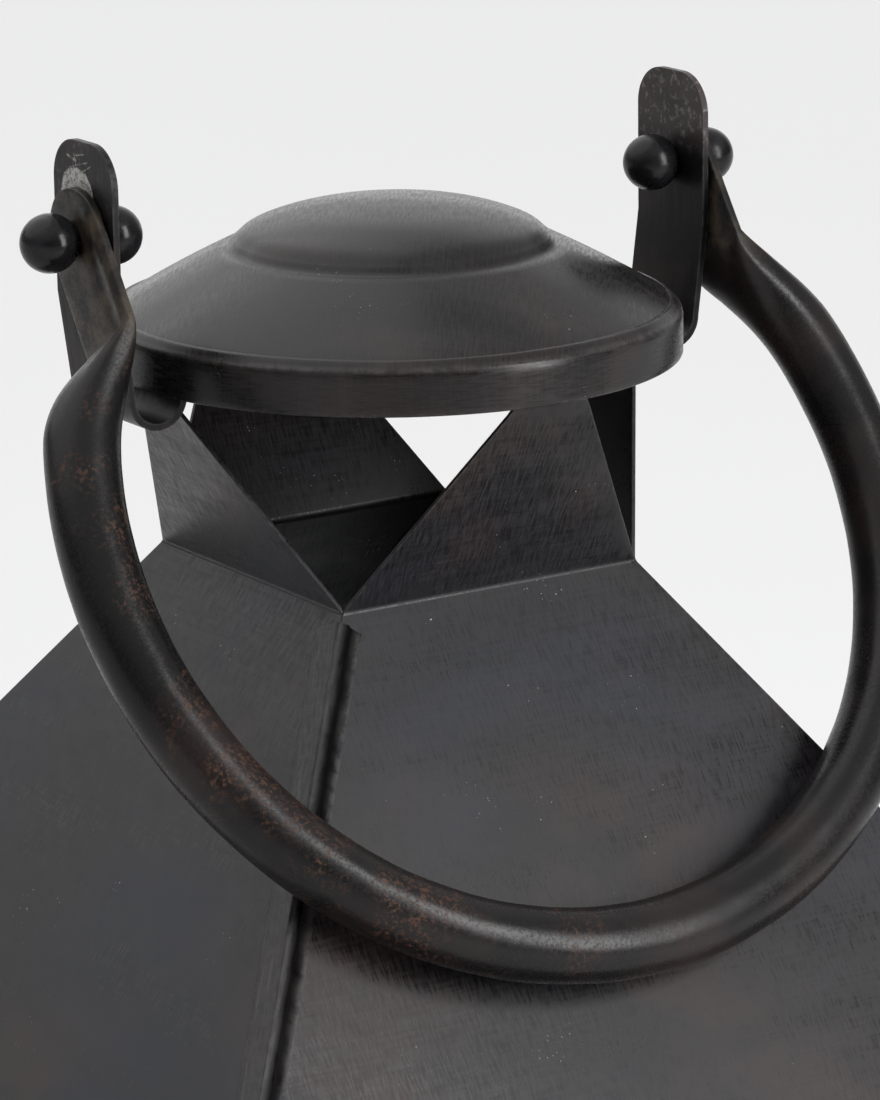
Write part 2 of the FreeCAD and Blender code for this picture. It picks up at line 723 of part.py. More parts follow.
def drill_knuckle(shape, bottom, length, clearance):
    return shape.cut(cylinder(hinge_pin_radius + clearance, Vector(hinge_x, hinge_y, bottom), Z_AXIS, length))


def make_post_knuckles():
    """Two knuckles for each hinge, above and below the door's, on leaves fixed to the post."""
    knuckles = []
    step = hinge_knuckle_length + hinge_knuckle_gap
    for level in hinge_levels():
        for bottom in (level - step - hinge_knuckle_length / 2, level + step - hinge_knuckle_length / 2):
            leaf = box(-half_body + post_leaf_margin,
                       hinge_x + hinge_knuckle_radius + post_leaf_past_knuckle,
                       -half_body - hinge_leaf, -half_body, bottom, bottom + hinge_knuckle_length)
            whole = fused([leaf, knuckle(bottom, hinge_knuckle_length)])
            knuckles.append(drill_knuckle(whole, bottom, hinge_knuckle_length, seat_clearance))
    return group(knuckles)


def make_door_knuckles():
    """The middle knuckle of each hinge, on a leaf fixed to the front of the door."""
    knuckles = []
    for level in hinge_levels():
        bottom = level - hinge_knuckle_length / 2
        leaf = box(hinge_x, -half_door + hinge_leaf_reach, door_front - hinge_leaf, door_front,
                   bottom, bottom + hinge_knuckle_length)
        whole = fused([leaf, knuckle(bottom, hinge_knuckle_length)])
        knuckles.append(drill_knuckle(whole, bottom, hinge_knuckle_length, running_clearance))
    return group(knuckles)


def make_hinge_pin(level):
    """Pin through three knuckles, with a ball head that sits on the upper one."""
    half_length = hinge_knuckle_length * 1.5 + hinge_knuckle_gap
    seat = level + half_length
    foot = Vector(hinge_x, hinge_y, level - half_length - hinge_pin_tail)
    centre = Vector(hinge_x, hinge_y, seat + hinge_ball_radius - hinge_ball_flat)
    pin = cylinder(hinge_pin_radius, foot, Z_AXIS, centre.z - foot.z)
    above = cylinder(hinge_ball_radius, Vector(hinge_x, hinge_y, seat), Z_AXIS, 2 * hinge_ball_radius)
    return fused([pin, Part.makeSphere(hinge_ball_radius, centre).common(above)])


def tongue_front():
    return -half_frame + tongue_gap


def make_latch_knob():
    """Ball knob, collar and spindle, turned from one piece."""
    collar_back = door_front - side_clearance
    collar = cylinder(collar_radius, Vector(latch_x, collar_back, latch_height), Y_AXIS * -1, collar_height)
    knob_centre = collar_back - collar_height - knob_neck - knob_radius * knob_seat_share
    spindle = cylinder(spindle_radius, Vector(latch_x, knob_centre, latch_height), Y_AXIS,
                       tongue_front() + tongue_thickness + spindle_end - knob_centre)
    knob = Part.makeSphere(knob_radius, Vector(latch_x, knob_centre, latch_height))
    return fused([collar, spindle, knob])


def make_latch_tongue():
    """Flat tongue on the inner end of the spindle; it hangs down, and turns to lie behind the post."""
    front = tongue_front()
    half_width = tongue_width / 2
    start = Vector(latch_x, front, latch_height)
    root = cylinder(half_width, start, Y_AXIS, tongue_thickness)
    blade = box(latch_x - half_width, latch_x + half_width, front, front + tongue_thickness,
                latch_height - tongue_length + half_width, latch_height)
    tip = cylinder(half_width, start - Z_AXIS * (tongue_length - half_width), Y_AXIS, tongue_thickness)
    tongue = fused([root, blade, tip])
    return tongue.cut(cylinder(spindle_radius + seat_clearance, start, Y_AXIS, tongue_thickness))


# Candle and plate --------------------------------------------------------------------------

def turned_solid(points):
    """Solid of revolution about Z through a closed outline of (radius, level) points."""
    outline = [Vector(r, 0, z) for r, z in points]
    return Part.Face(Part.makePolygon(outline + outline[:1])).revolve(ORIGIN, Z_AXIS, 360)


def make_candle_plate():
    floor = tray_floor_top
    rim = floor + plate_rim_height
    inset = plate_sheet * math.tan(math.atan2(plate_rim_height, plate_rim_run) / 2)
    outline = [(plate_flat_radius, floor), (plate_radius, rim), (plate_radius + plate_lip, rim),
               (plate_radius + plate_lip, rim + plate_sheet), (plate_radius - inset, rim + plate_sheet),
               (plate_flat_radius - inset, candle_seat), (spike_radius, candle_seat), (spike_radius, floor)]
    return turned_solid(outline)


def make_candle_spike():
    """Pricket: a straight foot that fills the plate's hole, and a cone that holds the candle."""
    tip = candle_seat + spike_height
    return turned_solid([(0, tray_floor_top), (spike_radius, tray_floor_top),
                         (spike_radius, candle_seat + spike_shoulder), (spike_tip_radius, tip), (0, tip)])


def make_candle():
    body = cylinder(candle_radius, Vector(0, 0, candle_seat), Z_AXIS, candle_height)
    rims = [edge for edge in body.Edges if edge.BoundBox.ZLength < 0.01]
    body = body.makeFillet(candle_edge_round, rims)
    pool_radius = candle_radius - candle_rim
    pool_ball_radius = (pool_radius ** 2 + candle_pool_depth ** 2) / (2 * candle_pool_depth)
    pool = Part.makeSphere(pool_ball_radius, Vector(0, 0, pool_bottom + pool_ball_radius))
    spike_hole = cylinder(spike_radius + spike_clearance, Vector(0, 0, candle_seat), Z_AXIS,
                          spike_height + spike_headroom)
    wick_hole = cylinder(wick_radius + wick_clearance, Vector(0, 0, pool_bottom - wick_depth),
                         Z_AXIS, wick_depth + candle_pool_depth)
    return body.cut(pool).cut(spike_hole).cut(wick_hole)


def make_wick():
    foot = Vector(0, 0, pool_bottom - wick_depth)
    return cylinder(wick_radius, foot, Z_AXIS, wick_depth + wick_height)


# All nodes -----------------------------------------------------------------------------------

nodes["base_tray"] = make_base_tray()
nodes["ball_feet"] = group([make_foot(place) for place in foot_places()])
nodes["foot_nuts"] = group([make_nut(place) for place in foot_places()])
nodes["sill_frame"] = make_sill()
nodes["head_frame"] = make_head()
nodes["eave_plate"] = make_eave_plate()
for end_name, end in (("front", -1), ("back", 1)):
    for side_name, side in (("left", -1), ("right", 1)):
        nodes["corner_post_" + end_name + "_" + side_name] = make_post(side, end)
nodes["base_rivets"] = make_rivets(base_rivet_places(), frame_sheet * 3)
nodes["head_rivets"] = make_rivets(head_rivet_places(), frame_sheet * 2)
nodes["eave_rivets"] = make_rivets(eave_rivet_places(), frame_sheet * 2)

for side_name, angle in (("back", 0), ("left", 90), ("right", -90)):
    nodes["glass_" + side_name] = turned(make_back_pane(), angle)
    nodes["glass_clips_" + side_name] = turned(make_back_pane_clips(), angle)

front_panel = make_front_panel(front_tab_face)
side_panel = make_front_panel(side_tab_face)
nodes["roof_panel_front"] = front_panel
nodes["roof_panel_back"] = turned(front_panel, 180)
nodes["roof_panel_left"] = turned(side_panel, -90).cut(mirrored_x(strap_rivet_shank(seat_clearance)))
nodes["roof_panel_right"] = turned(side_panel, 90).cut(strap_rivet_shank(seat_clearance))
seam = make_seam()
for corner_name, angle in (("front_left", 0), ("back_right", 180)):
    nodes["ridge_seam_" + corner_name] = turned(seam, angle)
nodes["vent_cap"] = make_vent_cap()

right_pieces = {"handle_strap": make_right_strap(), "strap_rivet": make_strap_rivet(),
                "pivot_pin": make_right_pin(), "pivot_ball": make_right_outer_ball()}
for piece_name, shape in right_pieces.items():
    nodes[piece_name + "_right"] = shape
    nodes[piece_name + "_left"] = mirrored_x(shape)
nodes["ring_handle"] = make_ring_handle()

nodes["door_frame"] = make_door_frame()
nodes["door_glass"] = make_door_glass()
nodes["door_glass_clips"] = make_door_clips()
nodes["door_knuckles"] = make_door_knuckles()
nodes["post_knuckles"] = make_post_knuckles()
for level_name, level in zip(("lower", "upper"), hinge_levels()):
    nodes["hinge_pin_" + level_name] = make_hinge_pin(level)
nodes["latch_knob"] = make_latch_knob()
nodes["latch_tongue"] = make_latch_tongue()

nodes["candle_plate"] = make_candle_plate()
nodes["candle_spike"] = make_candle_spike()
nodes["pillar_candle"] = make_candle()
nodes["candle_wick"] = make_wick()

os.makedirs("parts", exist_ok=True)
for name, shape in nodes.items():
    shape.exportStep("parts/" + name + ".step")
    print(name, "solids", len(shape.Solids), "volume", round(shape.Volume, 1), "valid", shape.isValid())
print("nodes", len(nodes))
print("neck level", neck_level, "pin level", pin_level, "rest angle", handle_rest_angle())
print("hinge", hinge_x, hinge_y, "latch", latch_x, door_front)
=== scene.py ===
"""Looks for the candle lantern: folded roof, spun cap, straps, ring handle, glazed body, candle and stage."""

import math

import bmesh
import bpy
from bpy.props import FloatProperty, FloatVectorProperty, PointerProperty
from mathutils import Matrix, Quaternion, Vector, noise


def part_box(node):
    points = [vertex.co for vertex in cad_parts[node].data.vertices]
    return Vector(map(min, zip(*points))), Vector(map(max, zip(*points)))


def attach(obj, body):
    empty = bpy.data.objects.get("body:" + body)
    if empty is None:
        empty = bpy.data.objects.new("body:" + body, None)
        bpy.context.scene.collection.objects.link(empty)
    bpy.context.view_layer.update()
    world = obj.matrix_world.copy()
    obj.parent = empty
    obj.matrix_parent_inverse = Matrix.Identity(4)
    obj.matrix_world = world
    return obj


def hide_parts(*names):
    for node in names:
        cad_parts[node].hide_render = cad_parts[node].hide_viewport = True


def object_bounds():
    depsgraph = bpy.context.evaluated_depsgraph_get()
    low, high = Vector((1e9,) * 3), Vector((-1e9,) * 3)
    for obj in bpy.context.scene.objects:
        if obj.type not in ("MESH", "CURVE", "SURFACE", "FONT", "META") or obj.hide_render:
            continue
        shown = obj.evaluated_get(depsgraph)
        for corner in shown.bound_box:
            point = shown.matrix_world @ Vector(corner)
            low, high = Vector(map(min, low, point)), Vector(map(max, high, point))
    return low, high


bl_info = {
    "name": "Candle lantern",
    "version": (1, 0, 0),
    "blender": (4, 5, 0),
    "location": "3D View > Sidebar > Lantern",
    "description": "Builds the visible pieces, finishes and stage of a candle lantern",
    "category": "Object",
}

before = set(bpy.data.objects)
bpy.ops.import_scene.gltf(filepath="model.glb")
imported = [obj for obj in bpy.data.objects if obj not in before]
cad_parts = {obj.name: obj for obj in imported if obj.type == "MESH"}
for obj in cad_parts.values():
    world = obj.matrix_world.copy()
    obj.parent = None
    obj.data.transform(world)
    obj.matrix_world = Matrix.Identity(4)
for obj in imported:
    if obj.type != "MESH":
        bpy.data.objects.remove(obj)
FRAME_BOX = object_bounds()

MM = 0.001
SIDES = {"front": 0, "right": 90, "back": 180, "left": 270}
POSTS = ("front_left", "front_right", "back_left", "back_right")
SEAMS = {"front_left": 0, "back_right": 180}

# Scratches above the left strap's pin: (y, height above the pin, degrees, length, width), in mm and degrees.
SCRATCHES = ((1.6, 15.5, -14, 8.5, 0.154), (-0.9, 14.6, -24, 6.0, 0.14), (3.8, 14.6, 84, 4.2, 0.182),
             (1.2, 15.0, 96, 3.6, 0.14), (4.6, 16.6, 12, 4.2, 0.49), (0.6, 17.7, -10, 4.5, 0.168),
             (3.0, 16.4, 70, 3.0, 0.21))

MITRE_GAP = 0.005 * MM      # between a panel's edge and the mitre plane
PANEL_STEP = 4.0 * MM       # longest face of a panel, up its slope
PANEL_COLUMNS = 40
SKIRT_GAP = 0.05 * MM       # between a flap's tab and the inside of the cap's skirt
TAB_FROM = 30 * MM          # above the neck, where a tab is curved to the skirt
FOLD_RUB = 0.18             # how far a panel's folds are rubbed
FOLD_RUB_REACH = 1.4 * MM
RIVET_HEAD = 0.9 * MM       # height of a strap rivet's head
HOOK_LEG = 1.5 * MM         # thickness of a strap's hooked leg
SEAM_STATIONS = 110
SEAM_CROWN = range(3, 10)   # points of a seam's section that stand proud and are rubbed
SEAM_CROWN_RUB = 0.55
SEAM_FOOT_POINTS = (0.12, 0.27, 0.45, 0.65, 0.85, 1.0)
CAP_SEGMENTS = 224
DOME_LINE = ((0, 1), (0.3, 0.95), (0.62, 0.74), (0.88, 0.38), (1, 0))  # shares of the dome's radius and rise
CAP_BRUSHING = math.radians(38)
TUBE_SEGMENTS = 96
RING_STATIONS = 96
OPENING_STATIONS = 22
CANDLE_SEGMENTS = 128
CANDLE_CORNER = tuple(math.radians(90 * n / 8) for n in range(1, 9))
WICK_RINGS, WICK_SEGMENTS = 60, 24
KEY_DISTANCE, KEY_WIDTH, KEY_TALL = 1.5, 0.45, 1.1
SUN_FROM, SUN_SPREAD = Vector((-0.7, 0.9, 1.5)), math.radians(80)


def top_of(node):
    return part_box(node)[1].z


def middle_of(node):
    low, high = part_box(node)
    return (low + high) / 2


# Sizes and colours that a user would change --------------------------------------


def length(name, description, default):
    return FloatProperty(name=name, description=description, default=default, unit="LENGTH", precision=5)


def number(name, description, default):
    return FloatProperty(name=name, description=description, default=default)


def angle(name, description, degrees):
    return FloatProperty(name=name, description=description, default=math.radians(degrees), subtype="ANGLE")


def colour(name, description, default):
    return FloatVectorProperty(name=name, description=description, default=default, subtype="COLOR",
                               size=3, min=0, max=1)


class RoofSettings(bpy.types.PropertyGroup):
    sheet: length("Sheet", "Thickness of the roof's sheet", 1.0 * MM)
    lip_height: length("Eave lip", "Height of the upright lip along the eaves", 9.5 * MM)
    rise_per_run: number("Pitch", "Rise of a panel for each unit of run", 1.41)
    neck_width: length("Neck", "Width across the fold where the flaps start", 76.0 * MM)
    flap_bend: length("Flap bend", "Where the front flap turns upright, above the cap's edge", 1.83 * MM)
    tip_width: length("Flap tip", "Width of a flap at its tip", 16.0 * MM)
    fold_radius: length("Fold radius", "Outer radius of each fold in the sheet", 1.05 * MM)
    waviness: length("Waviness", "How far the hand-worked sheet strays from flat", 0.22 * MM)


class SeamSettings(bpy.types.PropertyGroup):
    broad_side: length("Broad side", "Reach of a ridge seam over its own panel", 6.2 * MM)
    return_side: length("Return", "Reach of a ridge seam over the neighbouring panel", 1.6 * MM)
    height: length("Height", "Height of a ridge seam above the panels", 1.8 * MM)
    foot: length("Foot", "Hollow curve from the return down to the panel", 3.2 * MM)
    top_gap: length("Top gap", "From the neck's corner down to the seam's upper end", 3.0 * MM)
    unevenness: length("Unevenness", "How far the seam's edge wanders", 0.18 * MM)


class CapSettings(bpy.types.PropertyGroup):
    sheet: length("Sheet", "Thickness of the spun sheet", 1.0 * MM)
    skirt_height: length("Skirt", "Height of the turned-down skirt", 9.4 * MM)
    brim_bead: length("Bead", "Rounding between skirt and brim", 1.0 * MM)
    rim_band: length("Rim band", "Width of the raised band round the brim's edge", 3.6 * MM)
    brim_rise: length("Brim rise", "Rise of the brim from its edge to the dome", 13.6 * MM)
    brim_bulge: length("Brim bulge", "How far the brim stands above a straight cone", 1.1 * MM)
    dome_radius: length("Dome radius", "Radius of the dome at its foot", 35.0 * MM)
    dome_foot: length("Dome foot", "Height of the rounded foot of the dome", 1.8 * MM)
    waviness: length("Waviness", "How far the spun surface strays from round", 0.16 * MM)
    dents: length("Dents", "Depth of the small dents in the skirt", 0.14 * MM)


class HandleSettings(bpy.types.PropertyGroup):
    tube_radius: length("Tube radius", "Outer radius of the ring's tube", 8.0 * MM)
    ring_drop: length("Ring centre", "From the pins to the ring's centre", 75.0 * MM)
    ring_radius: length("Ring radius", "Of the tube's centre line", 97.0 * MM)
    end_thickness: length("End thickness", "Of the pressed-flat ends", 2.4 * MM)
    end_width: length("End width", "Of the pressed-flat ends", 22.0 * MM)
    flat_length: length("Flat length", "From a pin to the crease where the tube opens", 23.0 * MM)
    round_from: length("Round from", "Below the pins, where the tube is fully round", 47.0 * MM)
    edge_fold: length("Edge fold", "Height of the fold pressed along the front edge of a flat end", 0.42 * MM)
    pin_hole_radius: length("Pin hole", "Radius of the holes for the pins", 3.08 * MM)
    unevenness: length("Unevenness", "How far the tube's surface strays from round", 0.14 * MM)


class CandleSettings(bpy.types.PropertyGroup):
    edge_round: length("Edge", "Rounding of the candle's edges", 3.0 * MM)
    rim_width: length("Rim", "Width of the rim around the hollow in the top", 9.5 * MM)
    pool_depth: length("Pool", "Depth of the hollow in the top", 4.0 * MM)
    spike_gap: length("Spike gap", "Room around and above the spike inside the candle", 0.4 * MM)
    wick_gap: length("Wick gap", "Room around the wick inside the candle", 0.1 * MM)
    waviness: length("Waviness", "How far the wax strays from round", 0.25 * MM)
    wick_lean: length("Wick lean", "Sideways curl of the wick's tip", 1.6 * MM)


class FinishSettings(bpy.types.PropertyGroup):
    sheet_colour: colour("Waxed sheet", "Roof and frame steel", (0.0105, 0.0100, 0.0112))
    warm_colour: colour("Warm patches", "Brownish patches in the patina", (0.0240, 0.0157, 0.0146))
    cool_colour: colour("Cool patches", "Bluish patches in the patina", (0.0105, 0.0118, 0.0178))
    worn_colour: colour("Worn edges", "Edges and folds rubbed bright", (0.075, 0.071, 0.066))
    cap_colour: colour("Cap", "Spun steel of the cap", (0.0112, 0.0104, 0.0108))
    tube_colour: colour("Tube", "Darker steel of the ring handle", (0.0055, 0.0052, 0.0055))
    rust_colour: colour("Rust", "Speckles on the ring handle", (0.085, 0.040, 0.023))
    pressed_colour: colour("Pressed ends", "Brown scale on the handle's flat ends", (0.050, 0.038, 0.026))
    strap_colour: colour("Strap", "Flat bar of the straps", (0.0050, 0.0048, 0.0056))
    scraped_colour: colour("Scraped", "Bare metal where the handle rubs", (0.40, 0.39, 0.37))
    ball_colour: colour("Balls", "Turned steel balls", (0.0060, 0.0060, 0.0068))
    plain_colour: colour("Plain steel", "Uncoated nuts", (0.42, 0.42, 0.43))
    glass_colour: colour("Glass", "Tint of the panes", (0.955, 0.985, 0.970))
    wax_colour: colour("Wax", "Pillar candle", (0.83, 0.77, 0.63))
    wick_colour: colour("Wick", "Unburnt cotton", (0.62, 0.56, 0.45))
    floor_colour: colour("Floor", "Pale ground of the stage", (0.765, 0.765, 0.768))


class StageSettings(bpy.types.PropertyGroup):
    azimuth: angle("Azimuth", "Camera's bearing round the lantern", -32.95)
    elevation: angle("Elevation", "Camera's height above the horizon", 14.83)
    roll: angle("Roll", "Camera's turn about its own axis", -0.80)
    distance: length("Distance", "Camera to the neck of the roof", 1109.3 * MM)
    aim_right: length("Aim right", "Aim point to the right of the neck's middle", 9.63 * MM)
    aim_up: length("Aim up", "Aim point above the neck's middle", -0.22 * MM)
    lens: FloatProperty(name="Lens", description="Focal length", default=163.6, unit="CAMERA")
    key_bearing: angle("Key bearing", "Bearing of the tall softbox, from the front towards the right", 24.0)
    key_height: angle("Key height", "Height of the softbox above the horizon", 17.0)
    key_power: FloatProperty(name="Key", description="Power of the tall softbox", default=20.0, unit="POWER")
    sun_strength: number("Overhead", "Strength of the wide overhead light", 1.45)
    sky_dim: number("Dim side", "Brightness of the room at the front and left", 0.10)
    sky_above: number("Ceiling", "Extra brightness overhead", 0.75)
    sky_behind: number("Far side", "Extra brightness of the far side", 1.10)
    sky_seen: number("Backdrop", "Brightness of the room where it is seen", 0.86)
    floor_radius: length("Floor", "Radius of the ground", 14.0)


# Meshes ---------------------------------------------------------------------------


def roof_levels(roof):
    """Distances from the middle and heights of the front panel's outer face, and its flap's lean."""
    low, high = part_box("roof_panel_front")
    half_roof = -low.y
    half_neck = roof.neck_width / 2
    eave_top = low.z + roof.lip_height
    neck_level = eave_top + (half_roof - half_neck) * roof.rise_per_run
    cap_low, cap_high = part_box("vent_cap")
    front_face = cap_high.x - bpy.context.scene.lantern_cap.sheet
    bend_level = cap_low.z + roof.flap_bend
    lean = (front_face - half_neck) / (bend_level - neck_level)
    return half_roof, low.z, eave_top, half_neck, neck_level, lean, high.z


def rounded_outline(corners, radius, steps):
    """Points along an open outline, with each corner turned into an arc of that radius."""
    points = [corners[0]]
    for before, corner, after in zip(corners, corners[1:], corners[2:]):
        back = (before - corner).normalized()
        ahead = (after - corner).normalized()
        half_turn = back.angle(ahead) / 2
        reach = radius / math.tan(half_turn)
        centre = corner + (back + ahead).normalized() * (radius / math.sin(half_turn))
        start = corner + back * reach - centre
        end = corner + ahead * reach - centre
        for n in range(steps + 1):
            mixed = start.lerp(end, n / steps).normalized() * radius
            points.append(centre + mixed)
    points.append(corners[-1])
    return points


def divided(points, longest):
    """The same line with extra points, so that no step is longer than longest."""
    made = [points[0]]
    for a, b in zip(points, points[1:]):
        parts = max(1, math.ceil((b - a).length / longest))
        made += [a.lerp(b, n / parts) for n in range(1, parts + 1)]
    return made


def sideways(points):
    """Unit normals of a plane line of (out, up) points, on its outer side."""
    normals = []
    for n in range(len(points)):
        before = points[max(n - 1, 0)]
        after = points[min(n + 1, len(points) - 1)]
        along = (after - before).normalized()
        normals.append(Vector((along.y, -along.x)))
    return normals


def arc_through(a, b, c, steps):
    """Points on the circle through three (radius, height) points, from a to c, without a."""
    ax, ay, bx, by, cx, cy = *a, *b, *c
    d = 2 * (ax * (by - cy) + bx * (cy - ay) + cx * (ay - by))
    sa, sb, sc = a.length_squared, b.length_squared, c.length_squared
    centre = Vector(((sa * (by - cy) + sb * (cy - ay) + sc * (ay - by)) / d,
                     (sa * (cx - bx) + sb * (ax - cx) + sc * (bx - ax)) / d))
    start, end = a - centre, c - centre
    turn = math.atan2(start.x * end.y - start.y * end.x, start.dot(end))
    return [centre + Matrix.Rotation(turn * n / steps, 2) @ start for n in range(1, steps + 1)]


def curve_through(points, steps):
    """Smooth line through the points, without the first: a Catmull-Rom spline."""
    ends = [points[0] * 2 - points[1], *points, points[-1] * 2 - points[-2]]
    made = []
    for a, b, c, d in zip(ends, ends[1:], ends[2:], ends[3:]):
        for n in range(1, steps + 1):
            t = n / steps
            made.append(0.5 * (2 * b + (c - a) * t + (2 * a - 5 * b + 4 * c - d) * t * t
                               + (3 * b - a - 3 * c + d) * t * t * t))
    return made


def full_turn(count):
    """Angles of count points spread evenly round a circle."""
    return [2 * math.pi * n / count for n in range(count)]


def smooth_step(x):
    x = min(max(x, 0.0), 1.0)
    return x * x * (3 - 2 * x)


def ripple(point, size, seed):
    """Soft noise from -1 to 1 whose bumps are about size across."""
    return noise.noise(point / size + Vector((seed * 7.3, seed * 3.1, seed * 5.7)))


def new_piece(name, points, faces, layers=None):
    """Mesh object with smooth faces, and layers: {attribute: a number or a vector for each point}."""
    mesh = bpy.data.meshes.new(name)
    mesh.from_pydata([tuple(p) for p in points], [], faces)
    for layer, values in (layers or {}).items():
        if isinstance(values[0], float):
            attribute = mesh.attributes.new(layer, "FLOAT", "POINT")
            attribute.data.foreach_set("value", values)
        else:
            attribute = mesh.attributes.new(layer, "FLOAT_VECTOR", "POINT")
            attribute.data.foreach_set("vector", [x for v in values for x in v])
    mesh.shade_smooth()
    piece = bpy.data.objects.new(name, mesh)
    bpy.context.scene.collection.objects.link(piece)
    return piece


def face_outward(piece):
    """Turns every face of a closed mesh outward."""
    work = bmesh.new()
    work.from_mesh(piece.data)
    bmesh.ops.recalc_face_normals(work, faces=work.faces)
    work.to_mesh(piece.data)
    work.free()


def soften(piece, width, segments=2, sharp_degrees=40):
    """Small rounded edges on a sheet-metal or turned piece, and even shading over its flats."""
    weld = piece.modifiers.new("join_corners", "WELD")
    weld.merge_threshold = 0.002 * MM
    bevel = piece.modifiers.new("eased_edges", "BEVEL")
    bevel.width = width
    bevel.segments = segments
    bevel.limit_method = "ANGLE"
    bevel.angle_limit = math.radians(sharp_degrees)
    bevel.miter_outer = "MITER_ARC"
    bevel.use_clamp_overlap = True
    bevel.harden_normals = False
    flats = piece.modifiers.new("even_shading", "WEIGHTED_NORMAL")
    flats.keep_sharp = False
    flats.weight = 80


def tube_faces(rings, count):
    """Quads between rings of count points each, with a flat face at both ends."""
    faces = []
    for r in range(rings - 1):
        for n in range(count):
            m = (n + 1) % count
            faces.append((r * count + n, r * count + m, (r + 1) * count + m, (r + 1) * count + n))
    faces.append(tuple(reversed(range(count))))
    faces.append(tuple(range((rings - 1) * count, rings * count)))
    return faces


def spun(name, outline, segments, shift):
    """Solid of revolution through (radius, height) points from axis to axis, each point moved by shift."""
    points = [Vector((0, 0, outline[0].y))]
    for r, z in outline[1:-1]:
        for turn in full_turn(segments):
            points.append(Vector((r * math.cos(turn), r * math.sin(turn), z)))
    points.append(Vector((0, 0, outline[-1].y)))
    points = [point + shift(point) for point in points]
    last = len(points) - 1
    rings = len(outline) - 2
    faces = []
    for n in range(segments):
        m = (n + 1) % segments
        faces.append((0, 1 + n, 1 + m))
        for r in range(rings - 1):
            start = 1 + r * segments
            faces.append((start + n, start + segments + n, start + segments + m, start + m))
        start = 1 + (rings - 1) * segments
        faces.append((start + n, last, start + m))
    piece = new_piece(name, points, faces)
    face_outward(piece)
    return piece


# Node materials --------------------------------------------------------------------


def add_node(tree, kind, inputs=None, **settings):
    """A node with its settings and inputs; an input is a value or another node's output."""
    made = tree.nodes.new("ShaderNode" + kind)
    for key, value in settings.items():
        setattr(made, key, value)
    for key, value in (inputs or {}).items():
        if isinstance(value, bpy.types.NodeSocket):
            tree.links.new(value, made.inputs[key])
        else:
            made.inputs[key].default_value = value
    return made


def maths(tree, operation, a, b=0.0, clamp=False):
    return add_node(tree, "Math", {0: a, 1: b}, operation=operation, use_clamp=clamp).outputs[0]


def times(tree, a, b, clamp=False):
    return maths(tree, "MULTIPLY", a, b, clamp)


def plus(tree, a, b, clamp=False):
    return maths(tree, "ADD", a, b, clamp)


def minus(tree, a, b, clamp=False):
    return maths(tree, "SUBTRACT", a, b, clamp)


def part_of(tree, vector, axis):
    """One coordinate of a vector."""
    return add_node(tree, "SeparateXYZ", {0: vector}).outputs[axis]


def flat_length(tree, vector, axes):
    """Length of a vector along the axes marked 1."""
    flat = add_node(tree, "VectorMath", {0: vector, 1: axes}, operation="MULTIPLY").outputs[0]
    return add_node(tree, "VectorMath", {0: flat}, operation="LENGTH").outputs["Value"]


def dot_of(tree, a, b):
    return add_node(tree, "VectorMath", {0: a, 1: b}, operation="DOT_PRODUCT").outputs["Value"]


def layer_of(tree, name, output="Fac"):
    """A layer stored on the mesh's points."""
    return add_node(tree, "Attribute", attribute_name=name).outputs[output]


def scaled_place(tree, place, scale, turn=(0, 0, 0)):
    """Texture space in which one unit is 1/scale metres along each axis."""
    return add_node(tree, "Mapping", {"Vector": place, "Scale": scale, "Rotation": turn}).outputs[0]


def cloud(tree, place, scale, detail=2.0, roughness=0.5, turn_degrees=0):
    """Noise from 0 to 1; scale is features per metre, one number or one for each axis."""
    if isinstance(scale, (int, float)):
        scale = (scale, scale, scale)
    spot = scaled_place(tree, place, scale, (0, 0, math.radians(turn_degrees)))
    return add_node(tree, "TexNoise", {"Vector": spot, "Scale": 1.0, "Detail": detail,
                                       "Roughness": roughness}).outputs[0]


def between(tree, value, low, high, out_low=0.0, out_high=1.0):
    """The value's stretch from low to high, mapped to out_low to out_high and kept inside."""
    return add_node(tree, "MapRange", {0: value, 1: low, 2: high, 3: out_low, 4: out_high},
                    interpolation_type="SMOOTHSTEP").outputs[0]


def blended(tree, factor, a, b):
    """Colour a where the factor is 0, b where it is 1."""
    made = add_node(tree, "Mix", {0: factor}, data_type="RGBA", clamp_factor=True)
    for socket, value in ((made.inputs[6], a), (made.inputs[7], b)):
        if isinstance(value, bpy.types.NodeSocket):
            tree.links.new(value, socket)
        else:
            socket.default_value = (*value, 1.0)
    return made.outputs[2]


def new_material(name):
    made = bpy.data.materials.new(name)
    made.use_nodes = True
    tree = made.node_tree
    shader = tree.nodes["Principled BSDF"]
    place = add_node(tree, "TexCoord").outputs["Object"]
    return made, tree, shader, place


def join_up(tree, shader, tone, dull, height=None, relief=0.5, sheen=None):
    """Leads colour, roughness and height to the shader; relief is the strength of the height."""
    tree.links.new(tone, shader.inputs["Base Color"])
    tree.links.new(dull, shader.inputs["Roughness"])
    if height is not None:
        bump = add_node(tree, "Bump", {"Height": height, "Distance": 1.0, "Strength": relief})
        tree.links.new(bump.outputs[0], shader.inputs["Normal"])
    if sheen is not None:
        shader.inputs["Specular IOR Level"].default_value = sheen


def rubbed_edges(tree, radius):
    """About 1 on outer edges and corners narrower than the radius, 0 on flats."""
    rounded = add_node(tree, "Bevel", {"Radius": radius}, samples=4).outputs[0]
    plain = add_node(tree, "NewGeometry").outputs["Normal"]
    return between(tree, dot_of(tree, rounded, plain), 0.995, 0.90)


